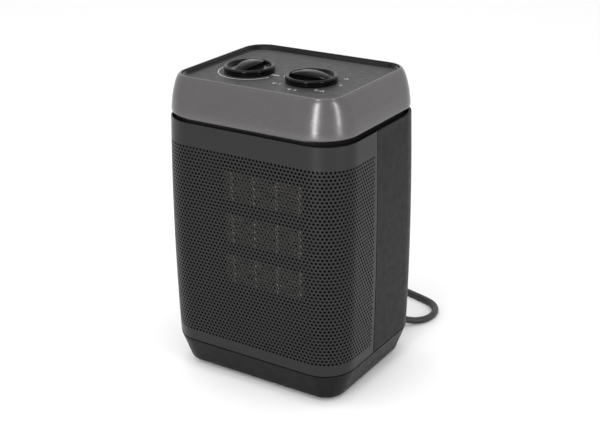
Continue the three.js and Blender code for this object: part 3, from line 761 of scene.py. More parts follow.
@dataclass
class Viewpoint:
    """The camera: where it stands, and how it is turned about its own line of sight."""

    azimuth: float = 32.76
    elevation: float = 22.076
    roll: float = -0.5736
    distance: float = 1.00106
    right_shift: float = 0.00598
    up_shift: float = 0.00223
    centre_height: float = 0.1315
    lens: float = 70.865

    def build(self) -> bpy.types.Object:
        """Makes the camera and puts it in the scene.

        Returns:
            The camera object.
        """
        az, el, roll = (math.radians(a) for a in (self.azimuth, self.elevation, self.roll))
        back = Vector((math.sin(az) * math.cos(el), -math.cos(az) * math.cos(el), math.sin(el)))
        level = Vector((math.cos(az), math.sin(az), 0))
        upright = back.cross(level)
        right = level * math.cos(roll) + upright * math.sin(roll)
        up = upright * math.cos(roll) - level * math.sin(roll)
        data = bpy.data.cameras.new("camera")
        data.lens = self.lens
        data.sensor_width = 36.0
        data.clip_start, data.clip_end = 0.01, 50.0
        camera = bpy.data.objects.new("camera", data)
        bpy.context.scene.collection.objects.link(camera)
        place = (Vector((0, 0, self.centre_height)) + right * self.right_shift + up * self.up_shift
                 + back * self.distance)
        turn = Matrix((right, up, back)).transposed().to_4x4()
        camera.matrix_world = Matrix.Translation(place) @ turn
        bpy.context.scene.camera = camera
        return camera


@dataclass(frozen=True)
class Softbox:
    """A soft rectangular light aimed at the middle of the heater."""

    name: str
    azimuth: float
    elevation: float
    distance: float
    width: float
    height: float
    watts: float

    def build(self, target: Vector) -> bpy.types.Object:
        """Makes the light and aims it.

        Args:
            target: The point it looks at.

        Returns:
            The light object.
        """
        az, el = math.radians(self.azimuth), math.radians(self.elevation)
        back = Vector((math.sin(az) * math.cos(el), -math.cos(az) * math.cos(el), math.sin(el)))
        data = bpy.data.lights.new(self.name, "AREA")
        data.shape = "RECTANGLE"
        data.size, data.size_y = self.width, self.height
        data.energy = self.watts
        light = bpy.data.objects.new(self.name, data)
        light.location = target + back * self.distance
        light.rotation_mode = "QUATERNION"
        light.rotation_quaternion = (-back).to_track_quat("-Z", "Y")
        bpy.context.scene.collection.objects.link(light)
        return light


@dataclass
class Studio:
    """A pale floor, a bright surround and softboxes."""

    surround: float = 1.0
    lights: tuple[Softbox, ...] = (
        Softbox("softbox_front", 8, 18, 1.5, 0.3, 1.3, 10),
        Softbox("softbox_side", 78, 20, 1.5, 0.2, 1.2, 5),
        Softbox("softbox_top", -20, 75, 1.4, 1.2, 1.2, 6),
    )

    def build(self) -> None:
        """Makes the surround, the lights and the floor."""
        world = bpy.data.worlds.new("surround")
        world.use_nodes = True
        world.node_tree.nodes["Background"].inputs["Color"].default_value = (1, 1, 1, 1)
        world.node_tree.nodes["Background"].inputs["Strength"].default_value = self.surround
        bpy.context.scene.world = world
        bpy.context.scene.view_settings.view_transform = "Standard"
        for light in self.lights:
            light.build(Vector((0, 0, 0.13)))
        half = 6.0
        floor = Mesher.make("studio_floor", np.array([(-half, -half, 0), (half, -half, 0), (half, half, 0),
                                                      (-half, half, 0)]), [[0, 1, 2, 3]], [STUDIO])


# ---------------------------------------------------------------- mains cord


@dataclass
class MainsCord:
    """The lead from the strain relief, its coil and its plug."""

    diameter: float = 6.2 * MM
    sides: int = 14
    exit: tuple[float, float, float] = (57 * MM, 84.6 * MM, 9.4 * MM)
    start_inside: tuple[float, float, float] = (57 * MM, 81 * MM, 9.4 * MM)
    route: tuple[tuple[float, float, float], ...] = (
        (57, 85.2, 9.4), (57.6, 90.6, 8.8), (59.2, 95.8, 7), (62, 100.5, 5), (65.6, 104.5, 3.7),
        (71.2, 111.6, 3.2), (73.9, 120.2, 3.2), (73.6, 129.2, 3.2), (70.2, 137.6, 3.2),
        (64.2, 144.3, 3.2), (56.2, 148.5, 3.2), (38, 154, 3.2), (20, 158.8, 3.2),
        (2, 162.3, 3.2), (-18, 164.3, 3.2), (-38, 164.8, 3.2),
    )
    tail: tuple[tuple[float, float, float], ...] = (
        (-106.6, 136.2, 10.4), (-111, 130.4, 11.9), (-114, 123.4, 14.4),
        (-115.2, 117.4, 17.2), (-115.2, 111.2, 18.2),
    )
    coil: tuple[float, float] = (-62.0, 126.0)
    radii: tuple[float, ...] = (38.75, 32.5, 26.25)
    layers: tuple[float, ...] = (3.2, 9.4)
    turn_steps: int = 40
    plug_at: tuple[float, float, float] = (-115.2 * MM, 110.6 * MM, 18.2 * MM)

    def coil_points(self) -> list[tuple[float, float, float]]:
        """Centreline of the coil: three turns inwards on the floor, then three outwards on top.

        Returns:
            Points in millimetres.
        """
        radii = [*self.radii, *self.radii[::-1]]
        heights = [self.layers[0]] * len(self.radii) + [self.layers[1]] * len(self.radii)
        turns = len(radii)
        points: list[tuple[float, float, float]] = []
        for i in range(1, int((turns + 0.125) * self.turn_steps)):
            t = i / self.turn_steps
            lap = min(int(t), turns - 1)
            after = min(lap + 1, turns - 1)
            share = min(max((t - lap - 0.86) / 0.14, 0.0), 1.0) if t < turns else 0.0
            ease = share * share * (3 - 2 * share)
            radius = radii[lap] + (radii[after] - radii[lap]) * ease
            height = heights[lap] + (heights[after] - heights[lap]) * ease
            a = math.pi / 2 + 2 * math.pi * t
            points.append((self.coil[0] + radius * math.cos(a), self.coil[1] + radius * math.sin(a), height))
        return points

    def centreline(self) -> np.ndarray:
        """Points along the whole cord, evenly close together, in metres."""
        start = tuple(v / MM for v in self.start_inside)
        knots = np.array([start, *self.route, *self.coil_points(), *self.tail])
        dense: list[np.ndarray] = []
        for i in range(len(knots) - 1):
            p0, p1, p2, p3 = (knots[min(max(i + d, 0), len(knots) - 1)] for d in (-1, 0, 1, 2))
            steps = max(1, round(float(np.linalg.norm(p2 - p1)) / 4.0))
            for t in np.arange(steps) / steps:
                dense.append(0.5 * (2 * p1 + (p2 - p0) * t + (2 * p0 - 5 * p1 + 4 * p2 - p3) * t * t
                                    + (3 * p1 - p0 - 3 * p2 + p3) * t ** 3))
        dense.append(knots[-1])
        return np.array(dense) * MM

    def tube(self, line: np.ndarray) -> tuple[np.ndarray, list[list[int]]]:
        """A round tube about a line, without twist.

        Args:
            line: Points along the middle of the tube.

        Returns:
            Points and faces.
        """
        ways = np.gradient(line, axis=0)
        ways /= np.linalg.norm(ways, axis=1)[:, None]
        across = np.cross(ways[0], (0, 0, 1.0))
        rings: list[np.ndarray] = []
        a = np.linspace(0, 2 * math.pi, self.sides, endpoint=False)
        for point, way in zip(line, ways):
            across = across - way * float(across @ way)
            across /= np.linalg.norm(across)
            up = np.cross(way, across)
            rings.append(point + self.diameter / 2 * (np.outer(np.cos(a), across) + np.outer(np.sin(a), up)))
        return Mesher.skin(rings, False)

    def at_plug(self, points: np.ndarray) -> np.ndarray:
        """Places what is made along +Z at the plug, pointing along -Y."""
        return np.stack([points[:, 0], -points[:, 2], points[:, 1]], 1) + np.array(self.plug_at)

    def plug(self) -> bpy.types.Object:
        """The moulded plug with its grip ribs and a recessed face."""
        profile = [(4.2, 0.0), (4.6, 0.3)]
        for i in range(5):
            z = 1.4 + i * 1.9
            profile += [(4.7 + i * 0.12, z), (4.2 + i * 0.12, z + 0.35), (4.2 + i * 0.12, z + 1.0),
                        (4.75 + i * 0.12, z + 1.35)]
        profile += [(7.2, 11.2), (11.0, 12.4), (14.2, 14.0), (16.4, 16.2), (17.6, 18.6), (18.0, 20.6),
                    (18.0, 24.0), (17.3, 24.6), (17.3, 25.6), (18.0, 26.2), (18.0, 33.4), (17.6, 35.0),
                    (16.4, 36.0), (14.6, 36.0), (14.2, 35.4), (0.0, 35.4)]
        points, faces = Mesher.turned([(r * MM, z * MM) for r, z in profile], 56)
        return Mesher.make("moulded_plug", self.at_plug(points), faces, [RUBBER])

    def pin(self, number: int, side: int) -> bpy.types.Object:
        """One round contact pin with a domed tip.

        Args:
            number: Its number in its name.
            side: -1 or 1, the side of the plug it stands on.

        Returns:
            The finished piece.
        """
        profile = [(2.4, 35.2), (2.4, 53.2), (2.2, 54.3), (1.6, 55.0), (0.8, 55.3), (0.0, 55.3)]
        points, faces = Mesher.turned([(r * MM, z * MM) for r, z in profile], 28)
        points = points + np.array([side * 9.5 * MM, 0, 0])
        return Mesher.make(f"contact_pin_{number}", self.at_plug(points), faces, [PINS])

    def relief(self) -> bpy.types.Object:
        """The ribbed, tapered sleeve where the cord leaves the base."""
        low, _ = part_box("strain_relief")
        y0 = low.y / MM
        profile = [(3.3, 0.0), (4.6, 0.0), (4.6, 2.5), (3.8, 2.5), (3.8, 7.1), (4.6, 7.1), (4.6, 8.6)]
        for i in range(6):
            y = 9.4 + i * 2.5
            r = 4.5 - i * 0.11
            profile += [(r - 0.65, y), (r - 0.65, y + 0.8), (r, y + 1.1), (r, y + 1.9)]
        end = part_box("strain_relief")[1].y / MM - y0
        profile += [(3.8, end - 0.2), (3.6, end), (3.2, end)]
        points, faces = Mesher.turned([(r * MM, z * MM) for r, z in profile], 32, endless=True)
        placed = np.stack([points[:, 0], points[:, 2], -points[:, 1]], 1)
        placed = placed + np.array([self.exit[0], y0 * MM, self.exit[2]])
        return Mesher.make("cord_sleeve", placed, faces, [RUBBER])

    def tie(self) -> bpy.types.Object:
        """The strap round the coil, with rounded corners and a lip."""
        low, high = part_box("cord_tie")
        x0, x1 = low.x, high.x
        wall, r = 1.0 * MM, 2.4 * MM
        rings: list[np.ndarray] = []
        for x, thin in ((x0, 0.35), (x0 + 0.6 * MM, 0.0), (x1 - 0.6 * MM, 0.0), (x1, 0.35)):
            take = thin * MM
            rings.append(self._strap(x, low.y + take, high.y - take, low.z + take * 0.2, high.z - take, r))
        for x, thin in ((x1, 0.35), (x1 - 0.6 * MM, 0.0), (x0 + 0.6 * MM, 0.0), (x0, 0.35)):
            take = wall - thin * MM * 0.4
            rings.append(self._strap(x, low.y + take, high.y - take, low.z + take * 0.1, high.z - take, r - wall))
        points, faces = Mesher.skin(rings, True)
        return Mesher.make("coil_strap", points, faces, [RUBBER])

    def _strap(self, x: float, y0: float, y1: float, z0: float, z1: float, r: float) -> np.ndarray:
        """One ring of the strap: a rounded rectangle across Y and Z.

        Args:
            x: Where the ring lies along X.
            y0: Its low side in Y.
            y1: Its high side in Y.
            z0: Its low side in Z.
            z1: Its high side in Z.
            r: Its corner radius.

        Returns:
            The ring's points.
        """
        ring: list[tuple[float, float, float]] = []
        for corner, (cy, cz) in enumerate(((y1 - r, z1 - r), (y0 + r, z1 - r), (y0 + r, z0 + r), (y1 - r, z0 + r))):
            for k in range(7):
                a = (corner + k / 6) * math.pi / 2
                ring.append((x, cy + r * math.cos(a), cz + r * math.sin(a)))
        return np.array(ring)

    def build(self) -> None:
        """Makes every piece of the lead and puts the plug, strap, sleeve and pins on the bodies they move with."""
        line = self.centreline()
        points, faces = self.tube(line)
        cord = Mesher.make("mains_cord", points, faces, [SHEATH], sharp=60)
        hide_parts("cord_run", "cord_coil", "cord_tail")
        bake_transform(cord)
        plug, strap, sleeve = self.plug(), self.tie(), self.relief()
        pins = [self.pin(1, -1), self.pin(2, 1)]
        for piece, node, body, slot in (
            (plug, "plug_body", "foot", "black_rubber"), (strap, "cord_tie", "foot", "black_rubber"),
            (sleeve, "strain_relief", "housing", "black_rubber"),
            (pins[0], "plug_pin_1", "foot", "plug_brass"), (pins[1], "plug_pin_2", "foot", "plug_brass"),
        ):
            settle(piece, body, slot, node)


def settle(piece: bpy.types.Object, body: str, slot: str, *nodes: str) -> bpy.types.Object:
    """Puts a finished piece on its body, in place of its CAD nodes.

    Args:
        piece: The finished object.
        body: The CAD body it moves with.
        slot: The record's material slot; not used.
        nodes: The CAD nodes it stands for.

    Returns:
        The piece.
    """
    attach(piece, body)
    if nodes:
        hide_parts(*nodes)
    LOG.info("%s on %s: %d faces", piece.name, body, len(piece.data.polygons))
    return piece


# ---------------------------------------------------------------- shells


@dataclass
class PerforatedGrille:
    """The wrapped steel front with its staggered round holes and plain margins."""

    field: CopyField
    barrel: Barrel = Barrel()
    pitch: float = 3.44 * MM
    hole: float = 1.16 * MM
    columns: int = 76
    rows: int = 56
    first_row: float = 39.9 * MM
    thickness: float = 1.0 * MM
    hole_sides: int = 8
    seam_edge: float = -10.0 * MM

    @property
    def reach(self) -> float:
        """Corner radius of the six-sided cell round each hole."""
        return self.pitch / math.sqrt(3)

    @property
    def row_step(self) -> float:
        """Height from one row to the next."""
        return 1.5 * self.reach

    def cell(self) -> tuple[np.ndarray, list[list[int]]]:
        """One six-sided cell with its hole, front, back and hole wall."""
        sheet = Sheet(self.thickness)
        outer = [math.pi / 6 + k * math.pi / 3 for k in range(6)]
        inner = [math.pi / 6 + k * 2 * math.pi / self.hole_sides for k in range(self.hole_sides)]
        far = [(self.reach * math.cos(a), self.reach * math.sin(a)) for a in outer]
        near = [(self.hole * math.cos(a), self.hole * math.sin(a)) for a in inner]
        i = j = 0
        while i < len(outer) or j < len(inner):
            both = i < len(outer) and j < len(inner)
            step_out = (i + 1) / len(outer) <= (j + 1) / len(inner) if both else i < len(outer)
            a, b = far[i % len(far)], near[j % len(near)]
            if step_out:
                sheet.face([a, far[(i + 1) % len(far)], b])
                i += 1
            else:
                sheet.face([a, near[(j + 1) % len(near)], b])
                j += 1
        limit = self.hole * 1.05
        return sheet.solid(lambda p, q: math.hypot(*p) < limit and math.hypot(*q) < limit)

    def margins(self) -> tuple[np.ndarray, list[list[int]]]:
        """The plain sheet between the outermost cells and the sheet's four edges."""
        end = self.barrel.middle_length(self.seam_edge)
        low, high = self.barrel.low, self.barrel.high
        half, rise = self.pitch / 2, self.reach / 2
        left = [-(self.columns * self.pitch) / 2 - half / 2 + (half if row % 2 else 0) for row in range(self.rows)]
        heights = [self.first_row + row * self.row_step for row in range(self.rows)]
        sheet = Sheet(self.thickness)
        for row, edge, sign in ((0, low, -1), (self.rows - 1, high, 1)):
            chain = [(left[row] + k * half, heights[row] + sign * (rise if k % 2 == 0 else self.reach))
                     for k in range(2 * self.columns + 1)]
            for p, q in zip(chain, chain[1:]):
                corners = [p, q, (q[0], edge), (p[0], edge)]
                sheet.face(corners if sign > 0 else corners[::-1])
        for side in (-1, 1):
            chain: list[Point] = []
            for row in range(self.rows):
                u = left[row] if side < 0 else left[row] + self.columns * self.pitch
                chain += [(u, heights[row] - rise), (u, heights[row] + rise)]
            chain = [(chain[0][0], low), *chain, (chain[-1][0], high)]
            for p, q in zip(chain, chain[1:]):
                corners = [p, q, (side * end, q[1]), (side * end, p[1])]
                sheet.face(corners[::-1] if side > 0 else corners)
        sheet.faces = [f if self._turns_left(sheet, f) else f[::-1] for f in sheet.faces]

        def is_edge(p: Point, q: Point) -> bool:
            """True on the sheet's own four edges."""
            return any(abs(p[axis] - value) < 1e-7 and abs(q[axis] - value) < 1e-7
                       for axis, value in ((0, -end), (0, end), (1, low), (1, high)))

        return sheet.solid(is_edge)

    @staticmethod
    def _turns_left(sheet: Sheet, face: Sequence[int]) -> bool:
        """True if a polygon runs anticlockwise."""
        p = [sheet.points[i] for i in face]
        return sum(a[0] * b[1] - b[0] * a[1] for a, b in zip(p, p[1:] + p[:1])) > 0

    def build(self) -> None:
        """Grows the holes, adds the margins, and wraps the sheet on the body."""
        start = -(self.columns - 1) * self.pitch / 2 - self.pitch / 4
        piece = self.field.grow(
            "perforated_front", self.cell(), GRILLE, self.columns, self.rows, (start, 0, self.first_row),
            (self.pitch, 0, 0), (0, 0, self.row_step), (self.pitch / 2, 0, 0))
        Mesher.weld(piece, self.margins(), GRILLE)
        self.barrel.clothe(piece, self.seam_edge, Facing.FRONT)
        settle(piece, "housing", "grille_steel", "front_grille")


@dataclass
class SideGuard:
    """The housing's dark inner wall behind each perforated corner."""

    barrel: Barrel = Barrel()
    gap: float = 3.0 * MM
    thickness: float = 1.6 * MM
    low: float = 36 * MM
    high: float = 212 * MM
    front: float = 54 * MM
    seam_edge: float = -10.0 * MM
    strips: int = 30
    bands: int = 8

    def wall(self, side: int) -> tuple[np.ndarray, list[list[int]]]:
        """One wall, flat, before it is wrapped.

        Args:
            side: -1 for the left wall, 1 for the right wall.

        Returns:
            Points as (distance round, depth, height), and faces.
        """
        ends = sorted((side * self.front, side * self.barrel.middle_length(self.seam_edge)))
        across = np.linspace(*ends, self.strips + 1)
        up = np.linspace(self.low, self.high, self.bands + 1)
        sheet = Sheet(self.thickness)
        for z0, z1 in zip(up, up[1:]):
            for u0, u1 in zip(across, across[1:]):
                sheet.face([(u0, z0), (u1, z0), (u1, z1), (u0, z1)])
        points, faces = sheet.solid(lambda p, q: True)
        return points + np.array([0, self.gap, 0]), faces

    def build(self) -> None:
        """Makes both walls."""
        for name, side in (("left", -1), ("right", 1)):
            piece = Mesher.make(f"side_guard_{name}", *self.wall(side), [HOUSING])
            self.barrel.clothe(piece, self.seam_edge, Facing.FRONT)
            settle(piece, "housing", "dark_plastic")


@dataclass
class RearShell:
    """The plain rear half with its rows of intake slots."""

    field: CopyField
    barrel: Barrel = Barrel()
    thickness: float = 2.2 * MM
    slots: int = 15
    slot_width: float = 96 * MM
    slot_height: float = 3.2 * MM
    slot_pitch: float = 6.8 * MM
    middle: float = 129 * MM
    cell_width: float = 101 * MM
    seam_edge: float = 9.0 * MM

    def cell(self) -> tuple[np.ndarray, list[list[int]]]:
        """One slot with round ends in its strip of wall."""
        sheet = Sheet(self.thickness)
        w, h, r = self.cell_width / 2, self.slot_pitch / 2, self.slot_height / 2
        straight = self.slot_width / 2 - r
        sheet.face([(-straight, r), (straight, r), (w, h), (-w, h)])
        sheet.face([(-w, -h), (w, -h), (straight, -r), (-straight, -r)])
        arc = [(straight + r * math.cos(a), r * math.sin(a)) for a in np.linspace(math.pi / 2, -math.pi / 2, 9)]
        sheet.face([(w, -h), (w, h), *arc])
        sheet.face([(-w, h), (-w, -h), *[(-x, z) for x, z in arc[::-1]]])
        return sheet.solid(lambda p, q: abs(p[1]) < h * 0.9 and abs(q[1]) < h * 0.9)

    def wall(self) -> tuple[np.ndarray, list[list[int]]]:
        """The wall round the block of slots."""
        end = self.barrel.middle_length(self.seam_edge)
        half, low, high = self.cell_width / 2, self.barrel.low, self.barrel.high
        across = [*np.linspace(-end, -half, 42), *np.linspace(half, end, 42)]
        first = self.middle - self.slots * self.slot_pitch / 2
        block = [first + k * self.slot_pitch for k in range(self.slots + 1)]
        up = [*np.linspace(low, block[0], 7)[:-1], *block, *np.linspace(block[-1], high, 5)[1:]]
        sheet = Sheet(self.thickness)
        for z0, z1 in zip(up, up[1:]):
            in_block = block[0] - 1e-6 < z0 and z1 < block[-1] + 1e-6
            for u0, u1 in zip(across, across[1:]):
                if in_block and abs(u0 + half) < 1e-9:
                    continue
                sheet.face([(u0, z0), (u1, z0), (u1, z1), (u0, z1)])

        def is_edge(p: Point, q: Point) -> bool:
            """True on the shell's own four edges."""
            return any(abs(p[axis] - value) < 1e-7 and abs(q[axis] - value) < 1e-7
                       for axis, value in ((0, -end), (0, end), (1, low), (1, high)))

        return sheet.solid(is_edge)

    def build(self) -> None:
        """Grows the slots, adds the wall and wraps both on the body."""
        start = self.middle - (self.slots - 1) * self.slot_pitch / 2
        piece = self.field.grow("rear_housing", self.cell(), HOUSING, 1, self.slots, (0, 0, start), (0, 0, 0),
                                (0, 0, self.slot_pitch))
        Mesher.weld(piece, self.wall(), HOUSING)
        self.barrel.clothe(piece, self.seam_edge, Facing.REAR)
        settle(piece, "housing", "dark_plastic", "rear_shell")


@dataclass
class TopBand:
    """The tapered metallic collar round the control panel."""

    outline: Outline = Outline()
    bottom: float = 227 * MM
    height: float = 32 * MM
    wall: float = 2 * MM
    rim_round: float = 0.7 * MM
    samples: int = 26
    profile: tuple[tuple[float, float, float, float], ...] = (
        (0, 3.2, 2.2, 30), (0.06, 1.8, 1.3, 30), (0.35, 2.7, 2.2, 28.9),
        (0.7, 5.3, 4.9, 25.5), (0.88, 7.7, 6.9, 22.6), (1, 10.6, 9.3, 19),
    )

    def inset(self, share: float) -> Inset:
        """The level at a share of the height, on a smooth line through the profile.

        Args:
            share: Share of the band's height, from 0 to 1.

        Returns:
            The inset there.
        """
        table = np.array(self.profile)
        steps = np.diff(table[:, 0])
        rates = np.diff(table[:, 1:], axis=0) / steps[:, None]
        slopes = np.vstack([rates[:1], rates])
        before, after = rates[:-1], rates[1:]
        one_way = before * after > 0
        safe = np.where(one_way, before + after, 1.0)
        slopes[1:-1] = np.where(one_way, 2 * before * after / safe, 0.0)
        i = int(np.clip(np.searchsorted(table[:, 0], share) - 1, 0, len(table) - 2))
        gap = table[i + 1, 0] - table[i, 0]
        t = (share - table[i, 0]) / gap
        value = ((2 * t ** 3 - 3 * t ** 2 + 1) * table[i, 1:] + (t ** 3 - 2 * t ** 2 + t) * gap * slopes[i]
                 + (3 * t ** 2 - 2 * t ** 3) * table[i + 1, 1:] + (t ** 3 - t ** 2) * gap * slopes[i + 1])
        return Inset(*(float(max(v, 0.0)) * MM for v in value))

    def build(self) -> None:
        """Makes the band as one closed ring."""
        shares = [0, 0.015, 0.03, 0.045, 0.06, *np.linspace(0.09, 0.97, self.samples)]
        outer = [self.outline.ring(self.bottom + s * self.height, self.inset(s)) for s in shares]
        top, rim = self.bottom + self.height, self.inset(1.0)
        for a in np.radians([0, 30, 60, 90]):
            take = self.rim_round * (1 - math.cos(a))
            outer.append(self.outline.ring(top - self.rim_round * (1 - math.sin(a)), rim.inside(take)))
        inner = [self.outline.ring(self.bottom + s * self.height, self.inset(s), self.wall)
                 for s in (0.995, 0.9, 0.75, 0.5, 0.25, 0.06, 0.0)]
        crest = self.outline.ring(top, rim.inside(self.wall - 0.2 * MM))
        points, faces = Mesher.skin([*outer, crest, *inner], True)
        piece = Mesher.make("titanium_band", points, faces, [BAND])
        settle(piece, "housing", "band_paint", "top_band")
        low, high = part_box("upper_collar")
        collar = Inset(self.outline.half_width - high.x, self.outline.half_depth - high.y, 30 * MM)
        rings = [self.outline.ring(z, collar, wall) for z, wall in (
            (low.z, 0.3 * MM), (low.z + 0.3 * MM, 0.0), (high.z - 0.3 * MM, 0.0), (high.z, 0.3 * MM),
            (high.z, 2.5 * MM), (low.z, 2.5 * MM))]
        piece = Mesher.make("groove_collar", *Mesher.skin(rings, True), [HOUSING])
        settle(piece, "housing", "dark_plastic", "upper_collar")


@dataclass
class ControlPanel:
    """The sunk panel with its glossy wall, pebbled floor and printed dial marks."""

    outline: Outline = Outline()
    edge: Inset = Inset(12.9 * MM, 11.6 * MM, 17 * MM)
    skirt_bottom: float = 249.1 * MM
    floor: float = 255.3 * MM
    under: float = 253.1 * MM
    top: float = 258.4 * MM
    ink: float = 0.05 * MM
    arc_radius: float = 25.5 * MM
    word_size: float = 4.2 * MM
    marks: list[tuple[np.ndarray, list[list[int]]]] = field(default_factory=list)

    def tray(self) -> bpy.types.Object:
        """The panel itself, from the middle of its underside to the middle of its floor."""
        levels = [
            (self.under, 2.0), (self.skirt_bottom, 2.0), (self.skirt_bottom, 0.0), (self.top - 0.5 * MM, 0.0),
            (self.top - 0.14 * MM, 0.15), (self.top, 0.5), (self.top, 1.1), (self.top - 0.2 * MM, 1.5),
            (self.top - 0.8 * MM, 1.95), (self.top - 1.5 * MM, 2.4), (self.top - 2.1 * MM, 3.0),
            (self.top - 2.6 * MM, 3.8), (self.floor + 0.15 * MM, 4.6), (self.floor, 5.4),
        ]
        rings = [self.outline.ring(z, self.edge, wall * MM) for z, wall in levels]
        for share in (0.8, 0.5, 0.2):
            rings.append(rings[len(levels) - 1] * np.array([share, share, 1]))
        points, faces = Mesher.skin(rings, False)
        count = len(rings[0])
        shades = [0 if i // count < len(levels) - 2 else 1 for i in range(len(faces) - 2)] + [0, 1]
        return Mesher.make("panel_tray", points, faces, [GLOSS, PANEL], shades)

    def prism(self, corners: Sequence[Point]) -> None:
        """Adds one flat printed shape, anticlockwise corners in metres."""
        low = np.array([(x, y, self.floor + 0.01 * MM) for x, y in corners])
        self.marks.append(Mesher.skin([low, low + np.array([0, 0, self.ink])], False))

    def arc(self, centre: Point, radius: float, start: float, end: float, width: float) -> None:
        """Adds a printed arc in short lengths, angles in degrees.

        Args:
            centre: Its centre.
            radius: Its radius.
            start: The angle where it starts.
            end: The angle where it ends.
            width: The width of the line.
        """
        steps = max(2, int(abs(end - start) / 5))
        a = np.radians(np.linspace(start, end, steps + 1))
        inner = [(centre[0] + (radius - width / 2) * math.cos(t), centre[1] + (radius - width / 2) * math.sin(t))
                 for t in a]
        outer = [(centre[0] + (radius + width / 2) * math.cos(t), centre[1] + (radius + width / 2) * math.sin(t))
                 for t in a]
        for k in range(steps):
            self.prism([inner[k], outer[k], outer[k + 1], inner[k + 1]])

    def swing_mark(self, x: float, y: float) -> None:
        """A small turning-head mark: a dot under an arc with two tips."""
        self.arc((x, y - 1.2 * MM), 2.0 * MM, 35, 145, 0.5 * MM)
        self.arc((x, y - 1.2 * MM), 0.35 * MM, 0, 360, 0.5 * MM)

    def fan_mark(self, x: float, y: float) -> None:
        """Three short blades about a hub."""
        for turn in (90, 210, 330):
            a = math.radians(turn)
            self.arc((x + 0.9 * MM * math.cos(a), y + 0.9 * MM * math.sin(a)), 0.75 * MM, turn - 90, turn + 100,
                     0.5 * MM)

    def word(self, text: str, x: float, y: float) -> None:
        """Adds a generic dial word as a flat mesh.

        Args:
            text: The word.
            x: Its place in X.
            y: Its place in Y.
        """
        curve = bpy.data.curves.new("dial_word", "FONT")
        curve.body = text
        curve.size = self.word_size
        curve.align_x, curve.align_y = "CENTER", "CENTER"
        curve.extrude = self.ink / 2
        thing = bpy.data.objects.new("dial_word", curve)
        bpy.context.scene.collection.objects.link(thing)
        mesh = bpy.data.meshes.new_from_object(thing.evaluated_get(bpy.context.evaluated_depsgraph_get()))
        points = np.array([v.co for v in mesh.vertices]) + np.array([x, y, self.floor + 0.01 * MM + self.ink / 2])
        self.marks.append((points, [list(p.vertices) for p in mesh.polygons]))
        bpy.data.objects.remove(thing)
        bpy.data.meshes.remove(mesh)

    def build(self) -> None:
        """Makes the tray and prints the dial marks."""
        settle(self.tray(), "housing", "panel_plastic", "control_panel")
        low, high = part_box("thermostat_knob")
        dial = ((low.x + high.x) / 2, (low.y + high.y) / 2)
        low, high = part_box("selector_knob")
        choice = ((low.x + high.x) / 2, (low.y + high.y) / 2)
        self.arc(dial, self.arc_radius, -18, -252, 0.55 * MM)
        self.word("MIN", dial[0] + 25.5 * MM, dial[1] - 0.5 * MM)
        self.word("MAX", dial[0] - 0.6 * MM, dial[1] + 26 * MM)
        self.word("0", choice[0] - 26 * MM, choice[1] + 1.2 * MM)
        for angle, level in ((225, 1), (270, 2), (315, 0)):
            a = math.radians(angle)
            x, y = choice[0] + 27.6 * MM * math.cos(a), choice[1] + 28.2 * MM * math.sin(a)
            self.swing_mark(x - 2.6 * MM, y)
            if level:
                self.word("I" * level, x + 2.4 * MM, y)
            else:
                self.fan_mark(x + 2.4 * MM, y)
        self.word("II", choice[0] + 26 * MM, choice[1] + 1.5 * MM)
        self.fan_mark(choice[0] + 20.5 * MM, choice[1] + 19.5 * MM)
        self.word("I", choice[0], choice[1] + 26.5 * MM)
        points, faces = Mesher.joined(self.marks)
        settle(Mesher.make("dial_print", points, faces, [PRINT], sharp=10), "housing", "panel_plastic")


